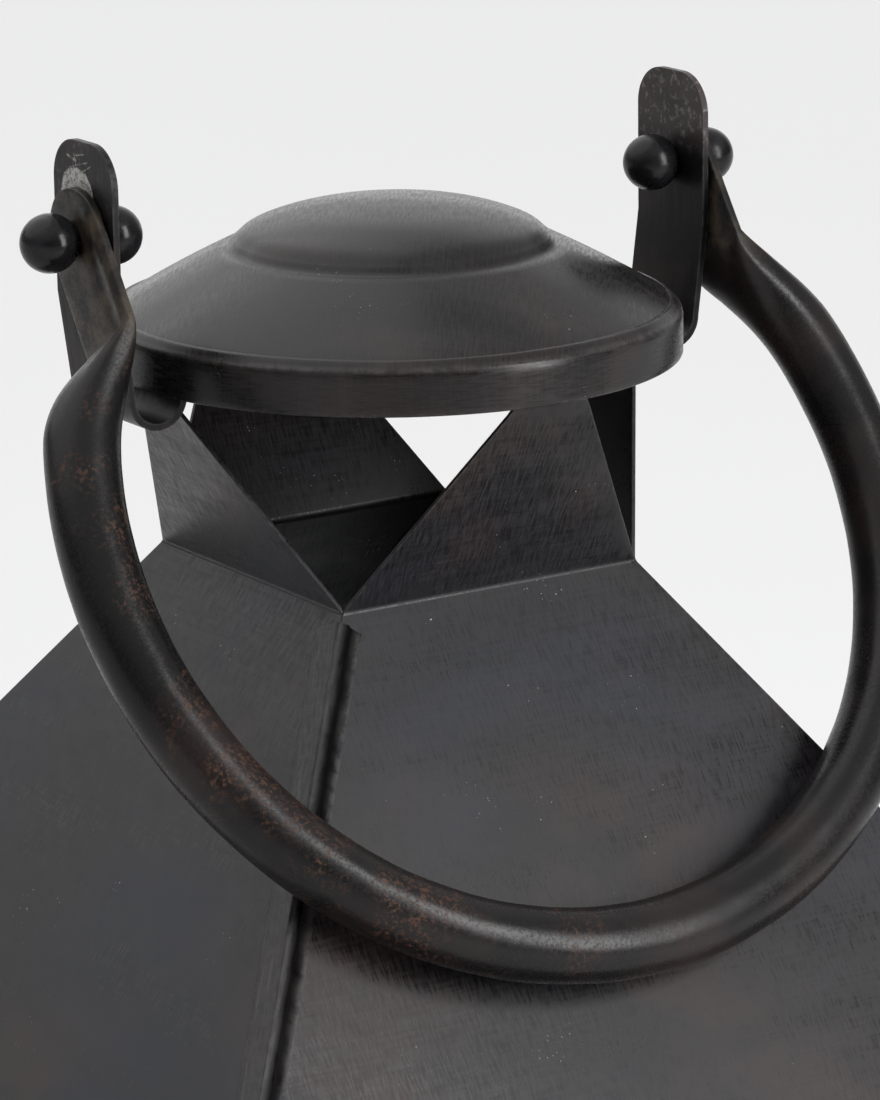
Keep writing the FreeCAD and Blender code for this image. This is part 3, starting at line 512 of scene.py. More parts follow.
def waxed_steel(name, base, roughness=0.40, grain=1.0, wear=0.5, mottle=1.0, along="grain", specks=0.0,
                edge_radius=0.8 * MM, streaks=0.0, sheen=0.32, shade_painted_at=None):
    """Blackened, waxed sheet steel: brushed cross-hatch, warm and cool patina, rubbed edges, dust specks.

    along names the layer that the brushing follows, or None for the piece's own axes. The last argument
    says where shade is painted: None, a seam's foot (painted shade where the seam's layer says so) or
    "inside" (painted shade on the inner face of the roof).
    """
    finish = bpy.context.scene.lantern_finish
    made, tree, shader, place = new_material(name)
    brushed = layer_of(tree, along, "Vector") if along else place
    fine = cloud(tree, brushed, (2100, 210, 2100), 2.0, 0.55, 3)
    cross = cloud(tree, brushed, (90, 1300, 1300), 2.0, 0.55, -3)
    smear = cloud(tree, brushed, (16, 70, 40), 2.0, 0.5, 8)
    patch = cloud(tree, place, 21, 3.0, 0.55)
    drift = cloud(tree, place, 9, 2.0, 0.5)
    hatch = plus(tree, times(tree, fine, 0.70), times(tree, cross, 0.30))

    tone = blended(tree, between(tree, patch, 0.46, 0.66, 0, 0.85 * mottle), base, finish.warm_colour)
    tone = blended(tree, between(tree, drift, 0.48, 0.66, 0, 0.8 * mottle), tone, finish.cool_colour)
    lift = between(tree, hatch, 0.36, 0.64, 1 - 0.42 * grain, 1 + 0.50 * grain)
    lift = times(tree, lift, between(tree, smear, 0.3, 0.7, 0.72, 1.30))
    tone = add_node(tree, "VectorMath", {0: tone, "Scale": lift}, operation="SCALE").outputs[0]

    broken = cloud(tree, place, 420, 3.0, 0.7)
    edge = times(tree, rubbed_edges(tree, edge_radius), between(tree, broken, 0.38, 0.62))
    rubbed = times(tree, layer_of(tree, "rubbed"), between(tree, broken, 0.34, 0.66, 0.15, 1.0))
    worn = maths(tree, "MAXIMUM", times(tree, edge, wear, True), times(tree, rubbed, wear))
    if streaks:
        scuffed = cloud(tree, brushed, (900, 38, 900), 3.0, 0.65)
        worn = maths(tree, "MAXIMUM", worn, between(tree, scuffed, 0.50, 0.66, 0, streaks))
    tone = blended(tree, worn, tone, finish.worn_colour)
    if specks:
        dust = cloud(tree, place, 2100, 1.0, 0.5)
        where = cloud(tree, place, 60, 2.0, 0.6)
        spots = times(tree, between(tree, dust, 0.74, 0.78), between(tree, where, 0.60, 0.68))
        tone = blended(tree, times(tree, spots, specks), tone, (0.55, 0.55, 0.53))
    if shade_painted_at == "beside_seam":
        painted_shade = layer_of(tree, "painted_shade")
    elif shade_painted_at == "inside":
        # Painted shade on the roof's inner face: strong under the panels, light on the flaps.
        roof = bpy.context.scene.lantern_roof
        neck_level = roof_levels(roof)[4]
        inner = between(tree, part_of(tree, brushed, "Z"), 0.2 * roof.sheet, 0.8 * roof.sheet)
        painted_shade = times(tree, inner, between(tree, part_of(tree, place, "Z"), neck_level - 1 * MM,
                                           neck_level + 1 * MM, 0.85, 0.22))
    # Painted shade: darkens the colour towards black and dims the reflections wherever the mask is set.
    if shade_painted_at:
        tone = blended(tree, times(tree, painted_shade, 0.92), tone, (0.001, 0.001, 0.001))
        tree.links.new(between(tree, painted_shade, 0.0, 1.0, 1.0, 0.12), shader.inputs["Specular Tint"])

    dull = between(tree, hatch, 0.35, 0.65, roughness - 0.11 * grain, roughness + 0.13 * grain)
    dull = plus(tree, dull, between(tree, smear, 0.3, 0.7, -0.04, 0.05))
    dull = minus(tree, dull, times(tree, worn, 0.06), True)
    dimple = cloud(tree, place, 260, 2.0, 0.5)
    height = plus(tree, times(tree, hatch, 0.014 * grain * MM), times(tree, dimple, 0.010 * MM))
    join_up(tree, shader, tone, dull, height, 0.45, sheen)
    return made


def blackened_tube():
    """Dark, pitted tube with rust speckles on the left, and brown scale on its pressed ends."""
    finish = bpy.context.scene.lantern_finish
    made, tree, shader, place = new_material("blackened_tube")
    cloudy = cloud(tree, place, 34, 3.0, 0.6)
    tone = blended(tree, between(tree, cloudy, 0.42, 0.70, 0, 0.55), finish.tube_colour, finish.warm_colour)
    leftness = between(tree, part_of(tree, place, "X"), 30 * MM, -60 * MM, 0.12, 1.0)
    freckle = cloud(tree, place, 900, 4.0, 0.75)
    bloom = cloud(tree, place, 60, 3.0, 0.65)
    rust = times(tree, between(tree, freckle, 0.48, 0.64), between(tree, bloom, 0.44, 0.66))
    rust = times(tree, rust, leftness, True)
    tone = blended(tree, times(tree, rust, 0.75), tone, finish.rust_colour)

    pressed = layer_of(tree, "pressed")
    scale = cloud(tree, place, 150, 4.0, 0.65)
    brown = blended(tree, between(tree, scale, 0.36, 0.66), finish.tube_colour, finish.pressed_colour)
    tone = blended(tree, times(tree, pressed, 0.92), tone, brown)
    chipped = times(tree, rubbed_edges(tree, 0.8 * MM), between(tree, freckle, 0.40, 0.60))
    tone = blended(tree, times(tree, chipped, 0.5), tone, finish.worn_colour)

    grit = cloud(tree, place, 1500, 3.0, 0.7)
    polish = cloud(tree, place, 24, 2.0, 0.5)
    dull = between(tree, polish, 0.35, 0.65, 0.22, 0.32)
    dull = plus(tree, dull, between(tree, grit, 0.45, 0.65, 0.0, 0.16))
    dull = plus(tree, dull, times(tree, rust, 0.25))
    dull = plus(tree, dull, times(tree, pressed, 0.10), True)
    dimple = cloud(tree, place, 420, 3.0, 0.6)
    height = plus(tree, times(tree, grit, 0.045 * MM), times(tree, dimple, 0.05 * MM))
    join_up(tree, shader, tone, dull, height, 0.5, 0.22)
    return made


def stroke(tree, place, middle, degrees, long, wide, ragged):
    """About 1 on a short scratch in the strap's plane; middle is (y, z) in metres."""
    turned = add_node(tree, "Mapping", {"Vector": place, "Location": (0, *middle),
                                        "Rotation": (math.radians(degrees), 0, 0)},
                      vector_type="TEXTURE").outputs[0]
    away = add_node(tree, "VectorMath", {0: turned}, operation="ABSOLUTE").outputs[0]
    wander = plus(tree, part_of(tree, away, "Z"), times(tree, ragged, wide))
    across = between(tree, wander, wide * 1.5, wide * 0.6)
    return times(tree, across, between(tree, part_of(tree, away, "Y"), long * 0.55, long * 0.4))


def scraped_patch(tree, place, pin, ragged, speckle, strength):
    """1 where the handle's end has scraped the strap bare above the pin, with scratches beyond."""
    spot = add_node(tree, "Mapping", {"Vector": place, "Location": (0, 2.6 * MM, pin.z + 8.6 * MM),
                                      "Scale": (1, 6.8 * MM, 6.2 * MM)}, vector_type="TEXTURE").outputs[0]
    reach = plus(tree, flat_length(tree, spot, (0, 1, 1)), between(tree, ragged, 0.3, 0.7, -0.05, 0.05))
    crazed = cloud(tree, place, (1500, 800, 1300), 3.0, 0.75)
    bare = times(tree, between(tree, reach, 1.03, 0.97), between(tree, crazed, 0.38, 0.56, 0.28, 1.0))
    faint = between(tree, speckle, 0.38, 0.60, 0.10, 0.75)
    for y, z, degrees, long, wide in SCRATCHES:
        line = stroke(tree, place, (y * MM, pin.z + z * MM), degrees, long * MM, wide * MM, ragged)
        bare = maths(tree, "MAXIMUM", bare, times(tree, line, faint))
    return times(tree, bare, strength, True)


def strap_bar(name, scraped, dusty):
    """Blackened flat bar, scraped bare above the pin or dusty at the top; both run from 0 to 1."""
    finish = bpy.context.scene.lantern_finish
    made, tree, shader, place = new_material(name)
    pin = middle_of("pivot_pin_left")
    height_above = minus(tree, part_of(tree, place, "Z"), pin.z)
    ragged = cloud(tree, place, 330, 4.0, 0.7)
    cloudy = cloud(tree, place, 55, 3.0, 0.6)
    speckle = cloud(tree, place, 620, 3.0, 0.7)
    tone = blended(tree, between(tree, cloudy, 0.42, 0.68, 0, 0.7), finish.strap_colour, finish.warm_colour)
    top = times(tree, between(tree, height_above, 1 * MM, 10 * MM), between(tree, cloudy, 0.3, 0.6, 0.6, 1.0))
    tone = blended(tree, times(tree, top, dusty), tone, (0.048, 0.040, 0.039))
    spots = times(tree, top, between(tree, speckle, 0.52, 0.66))
    tone = blended(tree, times(tree, spots, dusty * 0.6), tone, (0.20, 0.19, 0.185))
    edge = times(tree, rubbed_edges(tree, 0.7 * MM), between(tree, ragged, 0.36, 0.6))
    tone = blended(tree, times(tree, edge, 0.6), tone, finish.worn_colour)
    drawn = cloud(tree, place, (300, 1900, 90), 2.0, 0.55)
    dull = between(tree, drawn, 0.3, 0.7, 0.32, 0.48)
    height = plus(tree, times(tree, drawn, 0.012 * MM), times(tree, ragged, 0.02 * MM))
    if scraped:
        bare = scraped_patch(tree, place, pin, ragged, speckle, scraped)
        tone = blended(tree, bare, tone, finish.scraped_colour)
        dull = plus(tree, dull, times(tree, bare, 0.2), True)
        height = minus(tree, height, times(tree, bare, 0.03 * MM))
    join_up(tree, shader, tone, dull, height, 0.6, 0.14)
    return made


def turned_steel(name, base, roughness, metallic=0.0):
    """Lathe-turned steel: cloudy polish, fine pits and lightly rubbed edges."""
    made, tree, shader, place = new_material(name)
    cloudy = cloud(tree, place, 180, 3.0, 0.6)
    pits = cloud(tree, place, 1900, 2.0, 0.6)
    light = [min(1.0, c * 1.9 + 0.004) for c in base]
    tone = blended(tree, between(tree, cloudy, 0.40, 0.70, 0, 0.7), base, light)
    worn = times(tree, rubbed_edges(tree, 0.5 * MM), 0.35)
    tone = blended(tree, worn, tone, bpy.context.scene.lantern_finish.worn_colour)
    dull = plus(tree, between(tree, cloudy, 0.3, 0.7, roughness - 0.06, roughness + 0.08),
                between(tree, pits, 0.5, 0.7, 0, 0.10), True)
    shader.inputs["Metallic"].default_value = metallic
    join_up(tree, shader, tone, dull, times(tree, pits, 0.02 * MM), 0.5, 0.19)
    return made


def window_glass():
    """Clear drawn glass with faint ripples, wipe marks and a little dust."""
    finish = bpy.context.scene.lantern_finish
    made, tree, shader, place = new_material("window_glass")
    wiped = cloud(tree, place, (14, 14, 22), 3.0, 0.6)
    dust = cloud(tree, place, 1300, 2.0, 0.6)
    tone = blended(tree, between(tree, dust, 0.70, 0.76, 0, 0.25), finish.glass_colour, (0.75, 0.75, 0.73))
    shader.inputs["Transmission Weight"].default_value = 1.0
    shader.inputs["IOR"].default_value = 1.5
    drawn = cloud(tree, place, (9, 9, 3), 1.0, 0.4)
    dull = between(tree, wiped, 0.45, 0.70, 0.0, 0.05)
    join_up(tree, shader, tone, dull, times(tree, drawn, 0.06 * MM), 0.4)
    return made


def candle_wax():
    """Ivory wax with a cloudy bloom, a soft glow from inside and a clearer pool round the wick."""
    finish = bpy.context.scene.lantern_finish
    made, tree, shader, place = new_material("ivory_wax")
    bloom = cloud(tree, place, (60, 60, 40), 4.0, 0.65)
    frost = cloud(tree, place, 520, 3.0, 0.7)
    pale = [min(1.0, c * 1.10 + 0.02) for c in finish.wax_colour]
    tone = blended(tree, between(tree, bloom, 0.38, 0.66, 0, 0.8), finish.wax_colour, pale)
    tone = blended(tree, between(tree, frost, 0.60, 0.72, 0, 0.35), tone, (0.93, 0.91, 0.85))
    away = flat_length(tree, place, (1, 1, 0))
    pool_top = top_of("pillar_candle") - 1.0 * MM
    pool = times(tree, between(tree, away, 26 * MM, 20 * MM),
                 between(tree, part_of(tree, place, "Z"), pool_top - 4 * MM, pool_top - 3 * MM))
    tone = blended(tree, times(tree, pool, 0.45), tone, (0.74, 0.62, 0.42))
    soot = times(tree, between(tree, away, 6 * MM, 2 * MM), pool)
    tone = blended(tree, times(tree, soot, 0.6), tone, (0.16, 0.12, 0.08))
    dull = minus(tree, between(tree, frost, 0.3, 0.7, 0.38, 0.55), times(tree, pool, 0.2), True)
    shader.inputs["Subsurface Weight"].default_value = 0.35
    shader.inputs["Subsurface Radius"].default_value = (0.9, 0.6, 0.35)
    shader.inputs["Subsurface Scale"].default_value = 3.5 * MM
    height = plus(tree, times(tree, bloom, 0.10 * MM), times(tree, frost, 0.02 * MM))
    join_up(tree, shader, tone, dull, height, 0.5)
    return made


def braided_cotton():
    """Cotton wick: plaited strands, charred towards the tip."""
    finish = bpy.context.scene.lantern_finish
    made, tree, shader, place = new_material("braided_cotton")
    strands = add_node(tree, "TexWave", {"Vector": scaled_place(tree, place, (900, 900, 1100)), "Scale": 1.0,
                                         "Distortion": 2.0}, bands_direction="DIAGONAL").outputs[1]
    dark = [c * 0.55 for c in finish.wick_colour]
    tone = blended(tree, strands, dark, finish.wick_colour)
    tip = top_of("candle_wick")
    burnt = between(tree, part_of(tree, place, "Z"), tip - 7 * MM, tip - 3 * MM)
    tone = blended(tree, burnt, tone, (0.012, 0.011, 0.010))
    dull = between(tree, strands, 0, 1, 0.75, 0.95)
    join_up(tree, shader, tone, dull, times(tree, strands, 0.12 * MM), 0.7)
    return made


def pale_ground():
    """Plain pale floor with the faintest unevenness."""
    finish = bpy.context.scene.lantern_finish
    made, tree, shader, place = new_material("pale_ground")
    darker = [c * 0.985 for c in finish.floor_colour]
    tone = blended(tree, cloud(tree, place, 1.5, 2.0, 0.5), darker, finish.floor_colour)
    tree.links.new(tone, shader.inputs["Base Color"])
    shader.inputs["Roughness"].default_value = 0.9
    shader.inputs["Specular IOR Level"].default_value = 0.1
    return made


def paint(piece, material):
    """Gives every material slot of a piece, or of a carried-over node, that material."""
    if not piece.material_slots:
        piece.data.materials.append(material)
    for entry in piece.material_slots:
        entry.material = material


def dress_nodes(names, material, edge):
    """Carried-over nodes: eased edges and a finish."""
    for name in names:
        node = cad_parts[name]
        paint(node, material)
        if edge:
            soften(node, edge)


# Pieces -----------------------------------------------------------------------------


def seen_from(bearing, height):
    """Direction from the lantern towards a place at that bearing, from the front, and height."""
    return Vector((math.sin(bearing) * math.cos(height), -math.cos(bearing) * math.cos(height),
                   math.sin(height)))


def turned_about_z(piece, degrees):
    piece.data.transform(Matrix.Rotation(math.radians(degrees), 4, "Z"))


class LANTERN_OT_roof(bpy.types.Operator):
    """Build the four folded roof panels with their flaps and tabs"""

    bl_idname = "lantern.roof"
    bl_label = "Roof panels"

    def build_panel(self, side, tab_face):
        roof = bpy.context.scene.lantern_roof
        half_roof, eave_low, eave_top, half_neck, neck_level, lean, tab_top = roof_levels(roof)
        bend_level = neck_level + (tab_face - half_neck) / lean
        corners = [Vector(p) for p in ((half_roof, eave_low), (half_roof, eave_top), (half_neck, neck_level),
                                       (tab_face, bend_level), (tab_face, tab_top))]
        line = divided(rounded_outline(corners, roof.fold_radius, 6), PANEL_STEP)
        normals = sideways(line)
        skirt_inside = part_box("vent_cap")[1].x - bpy.context.scene.lantern_cap.sheet - SKIRT_GAP
        seed = list(SIDES).index(side) + 1
        across = PANEL_COLUMNS
        layers = {"grain": [], "rubbed": []}
        sheets = []
        for depth in (0.0, roof.sheet):
            rows = []
            run = 0.0
            for j, (spot, normal) in enumerate(zip(line, normals)):
                run += (spot - line[j - 1]).length if j else 0.0
                out, up = spot - normal * depth
                if up <= neck_level:
                    half = out - MITRE_GAP
                else:
                    climb = min((up - neck_level) / (bend_level - neck_level), 1.0)
                    half = half_neck + (roof.tip_width / 2 - half_neck) * climb
                fold = min(abs(run - mark) for mark in self.fold_runs(corners))
                row = []
                for i in range(across + 1):
                    x = half * (2 * i / across - 1)
                    calm = smooth_step((half - abs(x)) / (12 * MM)) * smooth_step(fold / (10 * MM))
                    place = Vector((x, out, up))
                    swell = ripple(place, 55 * MM, seed) + 0.35 * ripple(place, 19 * MM, seed + 4)
                    reach = out + normal.x * swell * roof.waviness * calm
                    rise = up + normal.y * swell * roof.waviness * calm
                    if up > neck_level + TAB_FROM:
                        reach = min(reach, math.sqrt(skirt_inside ** 2 - x * x) - depth)
                    row.append(Vector((x, -reach, rise)))
                    layers["grain"].append((x, run, depth))
                    layers["rubbed"].append(max(0.0, 1 - fold / FOLD_RUB_REACH) * FOLD_RUB)
                rows.append(row)
            sheets.append(rows)
        points = [point for rows in sheets for row in rows for point in row]
        wide = across + 1
        tall = len(line)
        faces = []
        for j in range(tall - 1):
            for i in range(across):
                a = j * wide + i
                quad = (a, a + 1, a + wide + 1, a + wide)
                faces.append(quad)
                faces.append(tuple(reversed([n + wide * tall for n in quad])))
        rim = [*range(wide)] + [j * wide + across for j in range(1, tall)]
        rim += [(tall - 1) * wide + i for i in range(across - 1, -1, -1)]
        rim += [j * wide for j in range(tall - 2, 0, -1)]
        for a, b in zip(rim, rim[1:] + rim[:1]):
            faces.append((b, a, a + wide * tall, b + wide * tall))
        piece = new_piece("folded_panel_" + side, points, faces, layers)
        face_outward(piece)
        soften(piece, 0.22 * MM, 2, 50)
        return piece

    @staticmethod
    def fold_runs(corners):
        """Distance of each fold from the panel's lower edge, along the sheet."""
        runs = []
        run = 0.0
        for a, b in zip(corners, corners[1:-1]):
            run += (b - a).length
            runs.append(run)
        return runs

    def execute(self, context):
        # Painted shade on the inner face of the panels and flaps.
        steel = waxed_steel("roof_waxed_steel", context.scene.lantern_finish.sheet_colour, wear=0.55,
                            specks=0.9, shade_painted_at="inside")
        for side, turn in SIDES.items():
            if side in ("front", "back"):
                tab_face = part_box("vent_cap")[1].x - context.scene.lantern_cap.sheet
            else:
                tab_face = tab_face_of_side()
            piece = self.build_panel(side, tab_face)
            turned_about_z(piece, turn)
            paint(piece, steel)
            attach(piece, "lantern")
            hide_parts("roof_panel_" + side)
        return {"FINISHED"}


def tab_face_of_side():
    """Outer face of a side flap's tab: the hook's inner leg lies on it."""
    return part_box("strap_rivet_right")[1].x - RIVET_HEAD - HOOK_LEG


class LANTERN_OT_seams(bpy.types.Operator):
    """Build the folded seams over the roof's ridges"""

    bl_idname = "lantern.seams"
    bl_label = "Ridge seams"

    def build_seam(self, corner):
        roof = bpy.context.scene.lantern_roof
        seam = bpy.context.scene.lantern_seam
        _, _, eave_top, half_neck, neck_level, _, _ = roof_levels(roof)
        slope = math.atan(roof.rise_per_run)
        down = Vector((-1, -1, -roof.rise_per_run)).normalized()
        front_normal = Vector((0, -math.sin(slope), math.cos(slope)))
        left_normal = Vector((-math.sin(slope), 0, math.cos(slope)))
        over_left = left_normal.cross(down)
        over_left *= math.copysign(1, over_left.y)
        over_front = front_normal.cross(down)
        over_front *= math.copysign(1, over_front.x)
        ridge_normal = (front_normal + left_normal).normalized()
        crest = ridge_normal * (seam.height / ridge_normal.dot(left_normal))
        start = Vector((-half_neck, -half_neck, neck_level)) + down * seam.top_gap
        seed = list(SEAMS).index(corner) + 11
        lift = 0.02 * MM
        round_over = [crest * 0.97 + over_left * (seam.broad_side * 0.13 * (1 - n / 3))
                      + over_front * (seam.return_side * 0.20 * (n / 3))
                      - ridge_normal * (0.10 * MM * abs(n - 1.5)) for n in range(4)]
        section = [ridge_normal * lift, over_left * seam.broad_side + left_normal * lift,
                   over_left * (seam.broad_side + 0.05 * MM) + left_normal * seam.height * 0.45,
                   over_left * (seam.broad_side - 0.35 * MM) + left_normal * seam.height * 0.90,
                   over_left * (seam.broad_side - 0.95 * MM) + left_normal * seam.height * 1.0,
                   over_left * seam.broad_side * 0.5 + left_normal * seam.height * 1.04, *round_over,
                   over_front * seam.return_side * 0.8 + front_normal * seam.height * 0.90,
                   over_front * seam.return_side * 1.15 + front_normal * seam.height * 0.55]
        section += [over_front * (seam.return_side * 1.15 + seam.foot * t) + front_normal
                    * (seam.height * 0.55 * (1 - t) ** 2.2 + lift) for t in SEAM_FOOT_POINTS]
        points, grain, rubbed, painted_shade = [], [], [], []
        for s in range(SEAM_STATIONS + 1):
            for n, offset in enumerate(section):
                base = start + offset
                reach = (base.z - eave_top) / -down.z * s / SEAM_STATIONS
                spot = base + down * reach
                foot = n - (len(section) - len(SEAM_FOOT_POINTS) - 1)
                loose = 0.0 if n in (0, 1) or foot >= 0 else 1.0
                wander = ripple(spot, 16 * MM, seed) + 0.5 * ripple(spot, 5 * MM, seed + 3)
                spot += (over_left * 0.6 + ridge_normal * 0.5) * wander * seam.unevenness * loose
                points.append(spot)
                grain.append((offset.dot(over_left), reach, 0.0))
                rubbed.append(SEAM_CROWN_RUB if n in SEAM_CROWN else 0.0)
                # Painted shade: full on the return and the top of the foot, fading out across the foot.
                painted_shade.append(max(0.0, 1 - max(foot - 1, 0) / 5.0) if foot >= -1 else 0.0)
        piece = new_piece("ridge_fold_" + corner, points, tube_faces(SEAM_STATIONS + 1, len(section)),
                          {"grain": grain, "rubbed": rubbed, "painted_shade": painted_shade})
        face_outward(piece)
        turned_about_z(piece, SEAMS[corner])
        return piece

    def execute(self, context):
        # Painted shade along each seam's return and foot.
        steel = waxed_steel("seam_waxed_steel", context.scene.lantern_finish.sheet_colour, roughness=0.38,
                            mottle=0.8, edge_radius=0.5 * MM, streaks=0.50, sheen=0.27, shade_painted_at="beside_seam")
        for corner in SEAMS:
            piece = self.build_seam(corner)
            soften(piece, 0.12 * MM, 1, 55)
            paint(piece, steel)
            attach(piece, "lantern")
            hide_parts("ridge_seam_" + corner)
        return {"FINISHED"}


class LANTERN_OT_cap(bpy.types.Operator):
    """Build the spun vent cap"""

    bl_idname = "lantern.cap"
    bl_label = "Vent cap"

    @staticmethod
    def outline(shrink):
        """(radius, height) points from the apex down to the skirt's edge, moved inward by shrink."""
        cap = bpy.context.scene.lantern_cap
        low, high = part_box("vent_cap")
        radius = high.x - shrink
        brim_low = low.z + cap.skirt_height - shrink
        brim_edge = brim_low + cap.brim_bead
        brim_high = brim_edge + cap.brim_rise
        foot = cap.dome_radius - shrink / 2
        dome_start = brim_high + cap.dome_foot
        rise = high.z - shrink - dome_start
        cove = 3.0 * MM
        dome = [Vector((foot * out, dome_start + rise * up)) for out, up in DOME_LINE]
        points = [dome[0], *curve_through(dome, 9)]
        points += arc_through(dome[-1], Vector((foot + cove / 3, brim_high + cap.dome_foot * 0.35)),
                              Vector((foot + cove, brim_high)), 5)
        crest = radius - cap.rim_band
        middle = Vector(((crest + foot + cove) / 2, (brim_edge + brim_high) / 2 + cap.brim_bulge))
        groove = Vector((crest, brim_edge + cap.rim_band * 0.42))
        points += arc_through(points[-1], middle, groove, 16)
        bead = [groove, Vector((crest + cap.rim_band * 0.16, groove.y - 0.34 * MM)),
                Vector((crest + cap.rim_band * 0.40, groove.y - 0.30 * MM)),
                Vector((crest + cap.rim_band * 0.70, brim_edge + 0.12 * MM)),
                Vector((radius - 0.32 * MM, brim_edge - 0.75 * MM)), Vector((radius, brim_low - 0.9 * MM))]
        points += curve_through(bead, 5)
        edge = low.z + 0.3 * MM
        points += [points[-1].lerp(Vector((radius, edge)), n / 6) for n in range(1, 7)]
        return points

    def execute(self, context):
        cap = context.scene.lantern_cap
        low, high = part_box("vent_cap")
        outer = self.outline(0.0)
        inner = self.outline(cap.sheet)
        half = cap.sheet / 2
        rim = [Vector((high.x - half + half * math.cos(t), low.z + 0.3 * MM * (1 + math.sin(t))))
               for t in (math.radians(d) for d in (-30, -60, -90, -120, -150))]
        skirt_top = low.z + cap.skirt_height

        def hand_worked(point):
            around = Vector((point.x, point.y, 0))
            if around.length < 1e-6:
                return Vector((0, 0, 0))
            out = around.normalized()
            swell = ripple(point, 42 * MM, 21) + 0.3 * ripple(point, 14 * MM, 22)
            if point.z > skirt_top + 1.5 * MM:
                return Vector((0, 0, swell * cap.waviness * smooth_step(around.length / (12 * MM))))
            dent = min(0.0, ripple(point, 9 * MM, 23) + 0.10) + 0.5 * ripple(point, 24 * MM, 24)
            low_edge = smooth_step((point.z - low.z) / (2 * MM))
            low_edge *= 1 - smooth_step((point.z - skirt_top + 1.5 * MM) / (1.5 * MM))
            return out * (dent * cap.dents * low_edge)

        piece = spun("spun_cap", outer + rim + list(reversed(inner)), CAP_SEGMENTS, hand_worked)
        steel = waxed_steel("cap_waxed_steel", context.scene.lantern_finish.cap_colour, roughness=0.30,
                            grain=0.55, wear=0.6, mottle=0.7, specks=0.5, edge_radius=1.2 * MM, sheen=0.235)
        self.add_grain(piece, skirt_top)
        paint(piece, steel)
        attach(piece, "lantern")
        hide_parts("vent_cap")
        return {"FINISHED"}

    @staticmethod
    def add_grain(piece, skirt_top):
        """Brushed straight across the top, round the skirt; the bead between them is rubbed."""
        lay = Matrix.Rotation(CAP_BRUSHING, 3, "Z")
        places, rubs = [], []
        for vertex in piece.data.vertices:
            spot = vertex.co
            if spot.z > skirt_top:
                place = lay @ spot
                places += [place.x, place.y, 0.0]
            else:
                places += [spot.z, math.hypot(spot.x, spot.y) * math.atan2(spot.x, -spot.y), 0.0]
            rubs.append(0.8 * max(0.0, 1 - abs(spot.z - skirt_top - 0.4 * MM) / (0.9 * MM)))
        piece.data.attributes.new("grain", "FLOAT_VECTOR", "POINT").data.foreach_set("vector", places)
        piece.data.attributes.new("rubbed", "FLOAT", "POINT").data.foreach_set("value", rubs)


